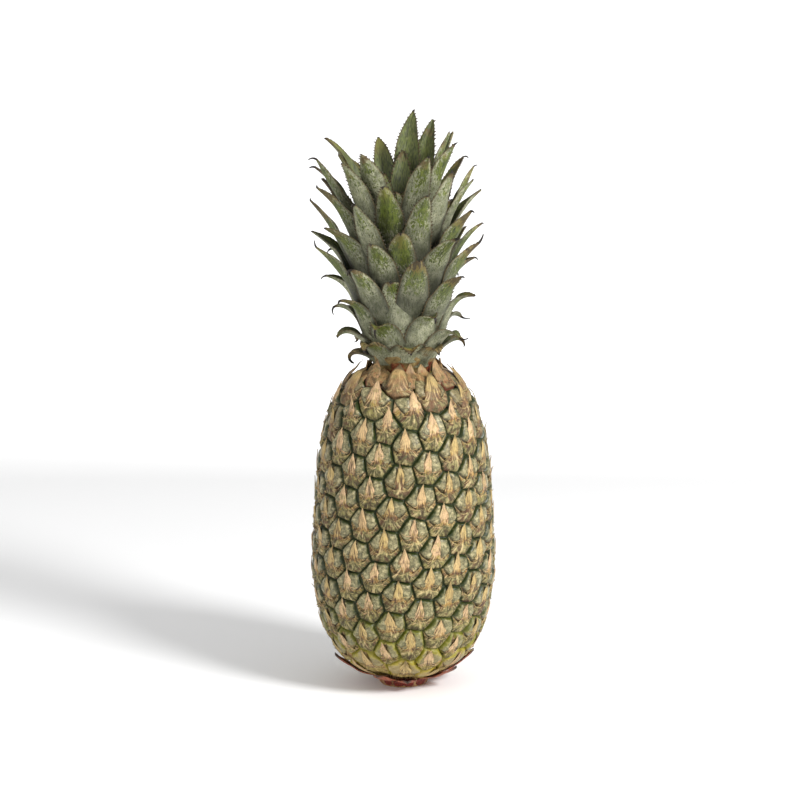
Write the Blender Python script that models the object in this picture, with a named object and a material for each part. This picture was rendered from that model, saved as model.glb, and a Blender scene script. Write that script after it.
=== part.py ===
"""A fresh pineapple standing on its cut stalk.

Three grown pieces, in metres, +Z up, front towards -Y, origin at the centre of the stalk's cut face:
    fruit   the barrel of fused fruitlets ("eyes"), each with two sepals and a pointed bract
    crown   the leafy shoot: a short stem with toothed, channelled leaves
    stalk   the cut stub under the fruit, with the papery bracts that grow from it
"""

import math
import random

import bmesh
import bpy
import numpy as np
from mathutils import Vector
from mathutils.geometry import delaunay_2d_cdt

# Driving dimensions
CONTACT_GAP = 0.0003
SHARP_ANGLE = math.radians(30)
GOLDEN_ANGLE = math.radians(137.5)

# Height and radius of the fruit's skin, from the stalk's seat up to the crown's seat
FRUIT_PROFILE = (
    (0.0075, 0.0190),
    (0.0135, 0.0308),
    (0.0245, 0.0420),
    (0.0440, 0.0508),
    (0.0740, 0.0555),
    (0.1080, 0.0543),
    (0.1420, 0.0519),
    (0.1640, 0.0479),
    (0.1810, 0.0422),
    (0.1930, 0.0340),
    (0.1985, 0.0240),
)
EYE_AREA = 0.0003123
EYE_RADIUS = 0.0110
EYE_ANGLE = math.radians(137.38)
EYE_PHASE = math.radians(114.2)
EYE_START = 0.62
GROOVE_DEPTH = 0.0030
GROOVE_SHOULDER = 0.85
SHOULDER_DROP = 0.0010
FOOT_MARGIN = 0.0075
NECK_MARGIN = 0.0040
GHOST_EYES = 14
# The raised points of an eye, anticlockwise from its right: across, up and lift, from the eye's middle
EYE_POINTS = (
    (0.0056, -0.0004, 0.0007),
    (0.0042, 0.0044, 0.0010),
    (-0.0042, 0.0044, 0.0010),
    (-0.0056, -0.0004, 0.0007),
    (-0.0034, -0.0036, 0.0009),
    (0.0000, -0.0070, 0.0010),
    (0.0034, -0.0036, 0.0009),
)
# The same points next to the crown, where the bracts are widest
NECK_EYE_POINTS = (
    (0.0072, -0.0004, 0.0007),
    (0.0052, 0.0044, 0.0010),
    (-0.0052, 0.0044, 0.0010),
    (-0.0072, -0.0004, 0.0007),
    (-0.0058, -0.0022, 0.0009),
    (0.0000, -0.0070, 0.0010),
    (0.0058, -0.0022, 0.0009),
)
CLEFT = (0.0000, 0.0012, -0.0004)
TIP_UP, NECK_TIP_UP = 0.0097, 0.0113
TIP_LIFT = 0.0021
TIP_SWAY, TIP_VARIES = 0.0012, 0.0009
LARGEST_EYE = 1.15
NECK_LENGTH = 0.030
NECK_RISE = 0.0060
NECK_TIP_CEILING = 0.2075
NECK_TIP_RADIUS = 0.0252
# The lowest eyes are this much flatter, which leaves room for the stalk's bracts
FOOT_LENGTH = 0.035
FOOT_RELIEF = 0.45

STALK_RADIUS = 0.0150
STALK_SWELL, STALK_SWELL_AT = 0.0006, 0.0030
STALK_SIDES = 20
BASE_BRACTS = 9
BRACT_ROOT, BRACT_DEPTH = 0.0040, 0.0040
BRACT_GAP, BRACT_GAP_VARIES = 0.0024, 0.0008
BRACT_FLARE = 0.0015
# The bracts reach furthest at the left and right
SHORTEST_BRACT, LONGEST_BRACT, REACH_VARIES = 0.008, 0.025, 0.0025
BRACT_STATIONS = (0.0, 0.30, 0.55, 0.80, 1.0)
BRACT_WIDTHS = (0.0054, 0.0066, 0.0060, 0.0038, 0.0)
BRACT_CHANNEL = 0.0005
BRACT_THICKNESS = 0.0010

CROWN_LEAVES = 76
CROWN_PHASE = math.radians(172.9)
CROWN_LEAN, LEAN_FROM = -0.050, 0.2160
CROWN_SLANT = 0.34
SLANT_FROM, SLANT_TO = 0.250, 0.350
LEAF_THICKNESS = 0.0016
LEAF_TEETH = 4
FIRST_TOOTH = 0.34
LAST_TOOTH = 0.92
TOOTH = 0.0012
TOOTH_PEAK = 0.62
CHANNEL = 0.36
CHANNEL_FROM, CHANNEL_TO = 0.35, 0.75
LEAF_TAPER = 0.62
ROOT_DEPTH = 0.003
SPINE_HANDLE = 0.42
AZIMUTH_VARIES = math.radians(3)
# Leaves that were pushed aside as they grew, by leaf number: degrees turned, and rise of the tip
LEAF_SHIFTS = {
    55: (0, -0.006),
    57: (9, 0.0),
    59: (0, -0.009),
    60: (21, 0.0),
    61: (16, 0.0),
    63: (0, -0.010),
    65: (-42, 0.0),
    66: (-9, 0.0),
    68: (15, -0.012),
    69: (50, 0.0),
}
RADIUS_VARIES = 0.07
HEIGHT_VARIES = 0.004
SLOPE_VARIES = 15
# Height above the crown's seat, and radius, of the bundle of leaf bases
CORE_PROFILE = (
    (0.0000, 0.0185),
    (0.0060, 0.0195),
    (0.0110, 0.0225),
    (0.0180, 0.0250),
    (0.0300, 0.0245),
    (0.0550, 0.0195),
    (0.0800, 0.0130),
    (0.0980, 0.0075),
    (0.1080, 0.0020),
)
CORE_SIDES = 12
# How the leaves change from the lowest up, by leaf number:
# number, root height, tip radius, tip height, first slope, last slope, width, taper
CROWN_RULE = (
    (0, 0.2010, 0.0330, 0.2080, 74, -85, 0.0260, 1.0),
    (5, 0.2045, 0.0360, 0.2140, 74, -75, 0.0280, 1.0),
    (9, 0.2075, 0.0400, 0.2240, 72, -45, 0.0280, 1.2),
    (14, 0.2115, 0.0425, 0.2380, 69, -5, 0.0240, 1.6),
    (19, 0.2170, 0.0460, 0.2540, 67, 20, 0.0222, 2.2),
    (27, 0.2250, 0.0510, 0.2730, 65, 34, 0.0212, 2.8),
    (40, 0.2370, 0.0535, 0.2960, 64, 40, 0.0204, 3.0),
    (53, 0.2500, 0.0510, 0.3230, 66, 46, 0.0204, 3.0),
    (64, 0.2640, 0.0440, 0.3420, 71, 56, 0.0210, 3.0),
    (69, 0.2720, 0.0330, 0.3420, 78, 66, 0.0200, 3.0),
    (71, 0.2780, 0.0180, 0.3180, 86, 78, 0.0150, 3.0),
    (75, 0.2900, 0.0050, 0.3100, 90, 88, 0.0110, 3.0),
)


def clear_scene():
    for item in list(bpy.data.objects):
        bpy.data.objects.remove(item)


def material(name, colour, roughness):
    made = bpy.data.materials.new(name)
    made.use_nodes = True
    shader = made.node_tree.nodes["Principled BSDF"]
    shader.inputs["Base Color"].default_value = (*colour, 1.0)
    shader.inputs["Roughness"].default_value = roughness
    shader.inputs["Metallic"].default_value = 0.0
    return made


def mesh_object(name, points, faces, finish):
    mesh = bpy.data.meshes.new(name)
    mesh.from_pydata([tuple(point) for point in points], [], faces)
    mesh.shade_smooth()
    mesh.set_sharp_from_angle(angle=SHARP_ANGLE)
    mesh.materials.append(finish)
    made = bpy.data.objects.new(name, mesh)
    bpy.context.scene.collection.objects.link(made)
    return made


def mix(low, high, share):
    return low + (high - low) * share


class Skin:
    """The fruit's skin: a smooth curve through FRUIT_PROFILE, turned about Z and measured along its run."""

    STEPS = 40

    def __init__(self, knots):
        line = self.smooth(np.array(knots))
        steps = np.diff(line, axis=0)
        lengths = np.hypot(steps[:, 0], steps[:, 1])
        middles = (line[1:, 1] + line[:-1, 1]) / 2
        self.height, self.radius = line[:, 0], line[:, 1]
        self.run = np.concatenate([[0], np.cumsum(lengths)])
        self.area = np.concatenate([[0], np.cumsum(2 * math.pi * middles * lengths)])
        self.turn = np.concatenate([[0], np.cumsum(lengths / middles)])

    def smooth(self, knots):
        """A Catmull-Rom curve, with its end knots mirrored to give it end slopes."""
        padded = np.vstack([2 * knots[0] - knots[1], knots, 2 * knots[-1] - knots[-2]])
        line = []
        for a, b, c, d in zip(padded, padded[1:], padded[2:], padded[3:]):
            for t in np.linspace(0, 1, self.STEPS, endpoint=False):
                bend = 2 * b + (c - a) * t + (2 * a - 5 * b + 4 * c - d) * t**2
                line.append((bend + (3 * b - a - 3 * c + d) * t**3) / 2)
        return np.array([*line, knots[-1]])

    def at(self, angle, run, lift=0.0):
        """The point at an angle about Z and a run up the skin, lifted along the skin's normal."""
        inside = min(max(run, 0.0), self.run[-1])
        radius = np.interp(inside, self.run, self.radius)
        height = np.interp(inside, self.run, self.height)
        out, up = self.normal(inside)
        radius += out * lift - up * (run - inside)
        height += up * lift + out * (run - inside)
        return Vector((radius * math.cos(angle), radius * math.sin(angle), height))

    def normal(self, run):
        """(outward, upward) parts of the skin's unit normal."""
        reach = 0.0015
        low, high = max(run - reach, 0.0), min(run + reach, self.run[-1])
        rise = np.interp(high, self.run, self.height) - np.interp(low, self.run, self.height)
        spread = np.interp(high, self.run, self.radius) - np.interp(low, self.run, self.radius)
        length = math.hypot(rise, spread)
        return rise / length, -spread / length

    def width(self, run):
        return float(np.interp(run, self.run, self.radius))


def eye_places(skin):
    """(angle, run, turn, is real) of each eye, in growing order, with ghost eyes past both ends.

    Eyes have equal areas. turn is the run in the skin's angle-true map.
    """
    count = int(skin.area[-1] / EYE_AREA - EYE_START) + 1
    middles = (np.arange(count) + EYE_START) * EYE_AREA
    runs = np.interp(middles, skin.area, skin.run)
    turns = np.interp(middles, skin.area, skin.turn)
    first_step = EYE_AREA / (2 * math.pi * skin.radius[0] ** 2)
    last_step = EYE_AREA / (2 * math.pi * skin.radius[-1] ** 2)
    places = []
    for index in range(-GHOST_EYES, count + GHOST_EYES):
        angle = EYE_PHASE + index * EYE_ANGLE
        if index < 0:
            places.append((angle, 0.0, turns[0] + index * first_step, False))
        elif index >= count:
            past = index - count + 1
            places.append((angle, skin.run[-1], turns[-1] + past * last_step, False))
        else:
            real = FOOT_MARGIN < runs[index] < skin.run[-1] - NECK_MARGIN
            places.append((angle, runs[index], turns[index], real))
    return places


def eye_cells(skin):
    """The eyes with their cells, [(angle, run, [corner, ...])], and the corners, [(angle, run)].

    A corner is the middle of three neighbouring eyes. Corners next to a ghost eye lie on an end circle.
    """
    full = 2 * math.pi
    places = eye_places(skin)
    flat, owners = [], []
    for shift in (-full, 0.0, full):
        for index, (angle, _, turn, _) in enumerate(places):
            flat.append(Vector((angle % full + shift, turn)))
            owners.append(index)
    points, _, triangles, originals, _, _ = delaunay_2d_cdt(flat, [], [], 0, 1e-9, True)
    corners, found, rings = [], {}, {}
    for triangle in triangles:
        trio = [owners[originals[corner][0]] for corner in triangle]
        middle = sum((points[corner] for corner in triangle), Vector((0.0, 0.0))) / 3
        # The same corner turns up round each of its three eyes
        key = tuple(sorted(trio))
        for corner, eye in zip(triangle, trio):
            if not places[eye][3] or not 0 <= points[corner].x < full:
                continue
            if key not in found:
                found[key] = len(corners)
                run = float(np.interp(middle.y, skin.turn, skin.run))
                if not all(places[other][3] for other in trio):
                    run = 0.0 if middle.y < skin.turn[-1] / 2 else float(skin.run[-1])
                corners.append((middle.x % full, run))
            offset = middle - points[corner]
            rings.setdefault(eye, {})[found[key]] = math.atan2(offset.y, offset.x)
    eyes = []
    for eye, ring in sorted(rings.items()):
        angle, run = places[eye][:2]
        eyes.append((angle, run, sorted(ring, key=ring.get)))
    return eyes, corners


def around(angle, middle):
    """The angle measured from middle, between -pi and pi."""
    return (angle - middle + math.pi) % (2 * math.pi) - math.pi


def bridge(outer, inner):
    """Triangles between two rings of (direction, vertex), both sorted anticlockwise from the right."""
    full = 2 * math.pi
    outer = sorted(outer)
    inner = sorted(inner)
    faces = []
    i = j = 0
    while i < len(outer) or j < len(inner):
        next_outer = outer[(i + 1) % len(outer)][0] + full * ((i + 1) // len(outer))
        next_inner = inner[(j + 1) % len(inner)][0] + full * ((j + 1) // len(inner))
        a, b = outer[i % len(outer)][1], inner[j % len(inner)][1]
        if j == len(inner) or (i < len(outer) and next_outer <= next_inner):
            faces.append((a, outer[(i + 1) % len(outer)][1], b))
            i += 1
        else:
            faces.append((a, inner[(j + 1) % len(inner)][1], b))
            j += 1
    return faces


def eye_relief(skin, eye, ring, points, faces):
    """One eye: a grooved edge, a raised shoulder, two sepals and a bract with its free tip."""
    angle, run, corner_places = eye
    reach = [
        math.hypot(around(a, angle) * skin.width(run), s - run) for a, s in corner_places
    ]
    size = min(LARGEST_EYE, sum(reach) / len(reach) / EYE_RADIUS)
    # The bracts of the topmost eyes are longer and wider, and stand round the crown's foot
    neck = max(0.0, 1 - (skin.run[-1] - run) / NECK_LENGTH)
    relief = mix(FOOT_RELIEF, 1.0, min(1.0, run / FOOT_LENGTH))

    def place(across, up, lift):
        p, q = across * size, up * size
        return skin.at(angle + p / skin.width(run + q), run + q, lift)

    shoulder = []
    for (corner_angle, corner_run), corner in zip(corner_places, ring):
        sweep = around(corner_angle, angle) * GROOVE_SHOULDER
        rise = (corner_run - run) * GROOVE_SHOULDER
        direction = math.atan2(rise, sweep * skin.width(run)) % (2 * math.pi)
        points.append(skin.at(angle + sweep, run + rise, -SHOULDER_DROP))
        shoulder.append((direction, len(points) - 1, corner))
    for k, (_, here, corner) in enumerate(shoulder):
        _, following, next_corner = shoulder[(k + 1) % len(shoulder)]
        faces.append((corner, next_corner, following))
        faces.append((corner, following, here))

    details = mix(np.array(EYE_POINTS), np.array(NECK_EYE_POINTS), neck)
    first = len(points)
    for across, up, lift in details:
        points.append(place(across, up, lift * relief))
    points.append(place(*CLEFT))
    rng = random.Random(round(run * 1e6))
    tip_up = mix(TIP_UP, NECK_TIP_UP, neck) + rng.uniform(-TIP_VARIES, TIP_VARIES)
    tip_lift = (TIP_LIFT + rng.uniform(-TIP_VARIES, TIP_VARIES) / 2) * relief
    tip = place(rng.uniform(-TIP_SWAY, TIP_SWAY), tip_up, tip_lift)
    tip.z = min(tip.z + neck * NECK_RISE, NECK_TIP_CEILING)
    spread = max(1.0, NECK_TIP_RADIUS / math.hypot(tip.x, tip.y))
    points.append(Vector((tip.x * spread, tip.y * spread, tip.z)))
    right_low, right_top, left_top, left_low, left, foot, right, cleft, tip = range(first, first + 9)
    directions = [
        (math.atan2(up, across) % (2 * math.pi), first + k)
        for k, (across, up, _) in enumerate(details)
    ]
    faces.extend(bridge([(d, v) for d, v, _ in shoulder], directions))
    faces.extend([(right, right_low, cleft), (right_low, right_top, cleft)])
    faces.extend([(left_low, left, cleft), (left_top, left_low, cleft), (right_top, left_top, cleft)])
    faces.extend([(left, foot, tip), (foot, right, tip), (right, cleft, tip), (cleft, left, tip)])


def close_ends(skin, points, faces):
    """Closes the open rings at both ends with flat fans. Returns the heights of the two discs."""
    used = {(a, b) for face in faces for a, b in zip(face, face[1:] + face[:1])}
    heights = []
    for run in (0.0, float(skin.run[-1])):
        middle = skin.at(0.0, run, -GROOVE_DEPTH)
        heights.append(middle.z)
        points.append(Vector((0.0, 0.0, middle.z)))
        for a, b in sorted(used):
            if (b, a) not in used and abs(points[a].z - middle.z) < GROOVE_DEPTH:
                faces.append((b, a, len(points) - 1))
    return heights


def build_fruit(finish):
    """The fruit as one closed surface. Returns its skin and the heights of the stalk's and crown's seats."""
    skin = Skin(FRUIT_PROFILE)
    eyes, corners = eye_cells(skin)
    points = [skin.at(a, s, -GROOVE_DEPTH) for a, s in corners]
    faces = []
    for angle, run, ring in eyes:
        eye_relief(skin, (angle, run, [corners[k] for k in ring]), ring, points, faces)
    bottom, top = close_ends(skin, points, faces)
    mesh_object("fruit", points, faces, finish)
    return skin, bottom, top


def turned(name, profile, base, sides, finish):
    """A closed solid of revolution through (height above base, radius), with flat ends."""
    points, faces = [], []
    for height, radius in profile:
        for k in range(sides):
            angle = 2 * math.pi * k / sides
            points.append((radius * math.cos(angle), radius * math.sin(angle), base + height))
    for level in range(len(profile) - 1):
        for k in range(sides):
            a, b = level * sides + k, level * sides + (k + 1) % sides
            faces.append((a, b, b + sides, a + sides))
    faces.append(tuple(reversed(range(sides))))
    faces.append(tuple(range(len(points) - sides, len(points))))
    return mesh_object(name, points, faces, finish)


def upright(height):
    """No lean."""
    return 0.0


def blade(name, spine, widths, channels, thickness, azimuth, lean, finish):
    """A closed leaf: four-point sections along a spine of (outward, height, slope), ending in a point.

    A section has its two edges, the bottom of its channel and its keel. Both faces are split alike.
    lean(height) is the shift along X at a height.
    """
    points, faces = [], []
    across = Vector((-math.sin(azimuth), math.cos(azimuth), 0.0))
    outward = Vector((math.cos(azimuth), math.sin(azimuth), 0.0))
    for (out, height, slope), width, channel in zip(spine, widths, channels):
        middle = outward * out + Vector((lean(height), 0.0, height))
        # The upper face looks up and in towards the shoot's axis
        upper = outward * -math.sin(slope) + Vector((0.0, 0.0, math.cos(slope)))
        rim = middle + upper * channel
        points += [rim - across * width, middle - upper * thickness, rim + across * width, middle]
    tip = len(points) - 4
    del points[tip + 1 :]
    points[tip] = middle
    left, keel, right, floor = range(4)
    for base in range(0, tip - 4, 4):
        ahead = base + 4
        for side, first, second in ((left, floor, keel), (right, keel, floor)):
            a, b = base + side, ahead + side
            faces.append((base + first, a, ahead + first))
            faces.append((a, b, ahead + first))
            faces.append((a, base + second, ahead + second))
            faces.append((a, ahead + second, b))
    last = tip - 4
    for k in range(4):
        faces.append((last + k, last + (k + 1) % 4, tip))
    faces.append((3, 2, 1, 0))
    return mesh_object(name, points, faces, finish)


def leaf_spine(root, tip, first_slope, last_slope, stations):
    """(outward, height, slope) along a smooth curve from root to tip, leaving and ending at given slopes."""
    reach = math.dist(root, tip) * SPINE_HANDLE
    a, d = Vector(root), Vector(tip)
    b = a + Vector((math.cos(first_slope), math.sin(first_slope))) * reach
    c = d - Vector((math.cos(last_slope), math.sin(last_slope))) * reach
    line = []
    for t in stations:
        s = 1 - t
        point = a * s**3 + b * (3 * s * s * t) + c * (3 * s * t * t) + d * t**3
        way = (b - a) * (s * s) + (c - b) * (2 * s * t) + (d - c) * (t * t)
        line.append((point.x, point.y, math.atan2(way.y, way.x)))
    return line


def crown_lean(height):
    """How far the shoot leans along X at a height."""
    return CROWN_LEAN * max(0.0, height - LEAN_FROM)


def crown_leaf(index, seat, finish):
    """The index-th leaf, counted from the lowest, as the shoot grew."""
    rng = random.Random(1000 + index)
    rule = np.array(CROWN_RULE)
    root, radius, top, first, last, width, taper = (
        float(np.interp(index, rule[:, 0], rule[:, column])) for column in range(1, 8)
    )
    core = float(np.interp(root - seat, *zip(*CORE_PROFILE)))
    azimuth = CROWN_PHASE + index * GOLDEN_ANGLE + rng.uniform(-AZIMUTH_VARIES, AZIMUTH_VARIES)
    turn, rise = LEAF_SHIFTS.get(index, (0, 0.0))
    azimuth += math.radians(turn)
    radius *= 1 + rng.uniform(-RADIUS_VARIES, RADIUS_VARIES)
    # The inner leaves stand taller at the back than at the front
    slant = CROWN_SLANT * max(0.0, top - SLANT_FROM) / (SLANT_TO - SLANT_FROM)
    top += rng.uniform(-HEIGHT_VARIES, HEIGHT_VARIES) + slant * radius * math.sin(azimuth) + rise
    last += rng.uniform(-SLOPE_VARIES, SLOPE_VARIES)
    pitch = (LAST_TOOTH - FIRST_TOOTH) / LEAF_TEETH
    stations = [0.0]
    for tooth in range(LEAF_TEETH):
        start = FIRST_TOOTH + tooth * pitch
        stations += [start, start + TOOTH_PEAK * pitch]
    stations += [LAST_TOOTH, 1.0]
    widths = [width / 2 * (1 - t**taper) ** LEAF_TAPER for t in stations]
    spine = leaf_spine(
        (core - ROOT_DEPTH, root), (radius, top), math.radians(first), math.radians(last), stations
    )
    # At its base a leaf wraps the bundle, and further out it is channelled
    depths = [
        mix(w / (2 * out), CHANNEL, share)
        for w, share, (out, _, _) in zip(
            widths, np.interp(stations, (CHANNEL_FROM, CHANNEL_TO), (0, 1)), spine
        )
    ]
    for peak in range(2, len(widths) - 2, 2):
        widths[peak] += TOOTH
    channels = [depth * w for depth, w in zip(depths, widths)]
    return blade(
        f"leaf_{index}",
        spine,
        widths,
        channels,
        LEAF_THICKNESS,
        azimuth,
        crown_lean,
        finish,
    )


def main_shell(mesh):
    """Keeps the largest closed surface: fills sealed hollows and drops loose scraps."""
    whole = bmesh.new()
    whole.from_mesh(mesh)
    whole.verts.ensure_lookup_table()
    shells, seen = [], set()
    for start in whole.verts:
        if start in seen:
            continue
        shell, todo = set(), [start]
        while todo:
            vertex = todo.pop()
            if vertex not in shell:
                shell.add(vertex)
                todo += [edge.other_vert(vertex) for edge in vertex.link_edges]
        seen |= shell
        shells.append(shell)
    shells.sort(key=len)
    for shell in shells[:-1]:
        bmesh.ops.delete(whole, geom=list(shell), context="VERTS")
    whole.to_mesh(mesh)
    whole.free()
    return mesh


def fuse(body, pieces):
    """Joins the pieces to the body in one Boolean union, and removes them."""
    bunch = bpy.data.collections.new(body.name + "_pieces")
    bpy.context.scene.collection.children.link(bunch)
    for piece in pieces:
        bunch.objects.link(piece)
        bpy.context.scene.collection.objects.unlink(piece)
    union = body.modifiers.new("union", "BOOLEAN")
    union.operation = "UNION"
    union.operand_type = "COLLECTION"
    union.collection = bunch
    union.solver = "MANIFOLD"
    graph = bpy.context.evaluated_depsgraph_get()
    joined = bpy.data.meshes.new_from_object(body.evaluated_get(graph))
    body.modifiers.clear()
    body.data = main_shell(joined)
    for piece in list(bunch.objects):
        bpy.data.objects.remove(piece)
    bpy.data.collections.remove(bunch)
    return body


def build_crown(seat, finish):
    core = turned("crown", CORE_PROFILE, seat, CORE_SIDES, finish)
    leaves = [crown_leaf(index, seat, finish) for index in range(CROWN_LEAVES)]
    return fuse(core, leaves)


def build_stalk(skin, seat, finish):
    """The cut stub, and the bracts that spread from it under the lowest eyes."""
    profile = ((0.0, STALK_RADIUS), (STALK_SWELL_AT, STALK_RADIUS + STALK_SWELL), (seat, STALK_RADIUS))
    stub = turned("stalk", profile, 0.0, STALK_SIDES, finish)
    bracts = []
    for index in range(BASE_BRACTS):
        rng = random.Random(2000 + index)
        gap = BRACT_GAP + rng.uniform(0.0, BRACT_GAP_VARIES)
        side = abs(math.cos(GOLDEN_ANGLE * index))
        reach = mix(SHORTEST_BRACT, LONGEST_BRACT, side) + rng.uniform(-REACH_VARIES, REACH_VARIES)
        spine = [(STALK_RADIUS - BRACT_DEPTH, BRACT_ROOT, 0.0)]
        for t in BRACT_STATIONS[1:]:
            point = skin.at(0.0, t * reach, gap + BRACT_FLARE * t**3)
            out, up = skin.normal(t * reach)
            spine.append((point.x, point.z, math.atan2(out, -up)))
        bract = blade(
            f"bract_{index}",
            spine,
            BRACT_WIDTHS,
            [BRACT_CHANNEL] * len(spine),
            BRACT_THICKNESS,
            GOLDEN_ANGLE * index,
            upright,
            finish,
        )
        bracts.append(bract)
    return fuse(stub, bracts)


def main():
    clear_scene()
    rind = material("rind", (0.24, 0.20, 0.09), 0.55)
    leaf = material("leaf", (0.19, 0.22, 0.12), 0.6)
    woody = material("stalk", (0.35, 0.16, 0.08), 0.7)
    skin, bottom, top = build_fruit(rind)
    build_crown(top + CONTACT_GAP, leaf)
    build_stalk(skin, bottom - CONTACT_GAP, woody)


main()
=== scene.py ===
"""The looks of a fresh pineapple: fine eyes and papery bracts, a toothed silvery crown, a dry cut stalk."""

import math
import random

import bpy
import numpy as np
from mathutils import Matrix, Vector, noise
from mathutils.geometry import delaunay_2d_cdt


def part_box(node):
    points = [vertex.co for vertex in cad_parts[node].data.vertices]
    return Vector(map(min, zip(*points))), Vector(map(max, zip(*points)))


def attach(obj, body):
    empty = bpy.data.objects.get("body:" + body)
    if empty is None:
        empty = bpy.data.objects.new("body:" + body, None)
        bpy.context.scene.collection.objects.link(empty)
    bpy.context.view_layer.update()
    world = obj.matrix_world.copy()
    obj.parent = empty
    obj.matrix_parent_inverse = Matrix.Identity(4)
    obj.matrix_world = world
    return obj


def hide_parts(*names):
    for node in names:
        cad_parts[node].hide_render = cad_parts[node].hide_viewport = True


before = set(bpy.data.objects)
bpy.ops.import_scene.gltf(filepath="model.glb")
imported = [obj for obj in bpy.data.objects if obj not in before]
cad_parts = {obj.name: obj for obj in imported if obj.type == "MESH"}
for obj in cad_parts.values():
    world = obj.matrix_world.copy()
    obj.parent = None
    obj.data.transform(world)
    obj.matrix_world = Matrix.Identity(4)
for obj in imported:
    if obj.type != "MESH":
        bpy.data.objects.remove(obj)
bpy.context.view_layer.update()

# The fruit's form, as in the solids, in metres
GOLDEN_ANGLE = math.radians(137.5)
FRUIT_PROFILE = (
    (0.0075, 0.0190),
    (0.0135, 0.0308),
    (0.0245, 0.0420),
    (0.0440, 0.0508),
    (0.0740, 0.0555),
    (0.1080, 0.0543),
    (0.1420, 0.0519),
    (0.1640, 0.0479),
    (0.1810, 0.0422),
    (0.1930, 0.0340),
    (0.1985, 0.0240),
)
EYE_AREA = 0.0003123
EYE_RADIUS = 0.0110
EYE_ANGLE = math.radians(137.38)
EYE_PHASE = math.radians(114.2)
EYE_START = 0.62
GROOVE_DEPTH = 0.0030
FOOT_MARGIN = 0.0075
NECK_MARGIN = 0.0040
GHOST_EYES = 14
LARGEST_EYE = 1.15
NECK_LENGTH = 0.030
NECK_RISE = 0.0060
NECK_TIP_CEILING = 0.2075
NECK_TIP_RADIUS = 0.0252
FOOT_LENGTH = 0.035
FOOT_RELIEF = 0.45
TIP_UP, NECK_TIP_UP = 0.0097, 0.0113
TIP_LIFT = 0.0021
TIP_SWAY, TIP_VARIES = 0.0012, 0.0009

# The fine eye: rings from its edge to its middle, and its lobes, in millimetres
MM = 0.001
# Grooves are as deep as the solid's at both ends, and this share of that between them
GROOVE_SHARE = 0.6
RINGS = (1.0, 0.955, 0.91, 0.86, 0.81, 0.75, 0.68, 0.60, 0.52, 0.43, 0.33, 0.22, 0.11)
EDGE_STEPS = 6
UPPER_SHOULDER, LOWER_SHOULDER = 2.3, 1.3
# The crease under the sepals is a shallow U below each, and the cleft parts them
CREASE_LOW, CREASE_AT, CREASE_BEND = -3.1, 3.0, 0.13
CLEFT_WIDTH = 0.7
SEPAL_LIFT, SEPAL_ROUND = 1.6, 3.0
BASE_AT, BASE_SIZE = (0.0, -5.2), (8.0, 4.4)
BASE_LIFT = 1.3
# The smooth shifts of the eyes along the skin: how far, how large, and the seed that they come from
WARP, WARP_SIZE, WARP_SEED = 0.0013, 0.014, 1
RUFFLE, RUFFLE_SIZE = 0.00035, 0.0035
TIP_STATIONS = (0.0, 0.08, 0.18, 0.30, 0.42, 0.54, 0.66, 0.78, 0.90, 1.0)
TIP_WIDTHS = (5.4, 5.4, 5.2, 4.7, 4.0, 3.1, 2.25, 1.4, 0.65, 0.06)
NECK_TIP_WIDTHS = (5.4, 6.2, 6.8, 7.0, 6.8, 6.2, 5.2, 3.8, 2.0, 0.08)
TIP_LIFTS = (0.2, 0.9, 1.5, 1.85, 2.05, 2.2, 2.3, 2.35, 2.3, 2.2)
TIP_ROOT = -5.6
# Fine ends, which the solid leaves out, in mm
SHORTEST_END, LONGEST_END = 0.2, 3.0
# A bract's half width at its tip, its growth per mm below that, and its flare below the middle
BRACT_TOP, BRACT_END, BRACT_GROWTH, BRACT_SPREAD = 9.7, 0.5, 0.34, 0.09
# How the blades vary: in width, and in their curl, skew, snaking and end's lift
TIP_COLUMNS, TIP_THICKNESS = 7, 0.35
TIP_WIDTH_VARIES = (0.78, 1.12)
TIP_CURLS, TIP_SKEW, TIP_SNAKES = (-0.2, 0.5), 0.22, 0.6
END_LIFTS = (-0.5, 0.0, 0.4, 0.9, 2.0)
# Each eye's own lean, sepal height and pits
EYE_LEANS, EYE_DROPS, EYE_PITS = (-0.5, 0.5), (-0.7, 0.9), (-0.2, 1.4)
CREASE_DEPTH, PIT_DEPTH = 0.85, 0.6
# Wrinkles and fine grain, on the sepals and below them
WRINKLES, GRAIN = (0.24, 0.45), (0.10, 0.24)
# Loose fibres, in mm: where they start and end across and up the eye, their sag and half width
EYE_FIBRES, FIBRE_STATIONS = 10, 7
FIBRE_STARTS, FIBRE_ENDS = (1.0, 3.6), (4.6, 8.4)
FIBRE_LEVELS, FIBRE_DROPS, FIBRE_SAGS = (-4.4, 0.6), (-2.6, 2.2), (-1.4, 0.5)
FIBRE_HALVES = (0.14, 0.34)
FIBRE_CLEARANCE = 0.8

# The stalk
STALK_RADIUS = 0.0150
STALK_SEAT = 0.0099
BASE_BRACTS = 9
BRACT_DEPTH, BRACT_ROOT = 0.0040, 0.0040
BRACT_GAP, BRACT_GAP_VARIES = 0.0024, 0.0008
BRACT_FLARE = 0.0015
# The bracts reach furthest at the left and right
SHORTEST_BRACT, LONGEST_BRACT, REACH_VARIES = 0.008, 0.025, 0.0025
BRACT_THICKNESS, BRACT_STATIONS, BRACT_COLUMNS = 0.0006, 15, 7
# Shares along a bract and its half widths there
BRACT_TAPER = ((0, 0.3, 0.55, 0.8, 0.93, 1), (0.0054, 0.0066, 0.0060, 0.0038, 0.0018, 0.0002))
STUB_SIDES, STUB_BEVEL, STUB_ROUGHNESS = 96, 0.0006, 0.0005
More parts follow.
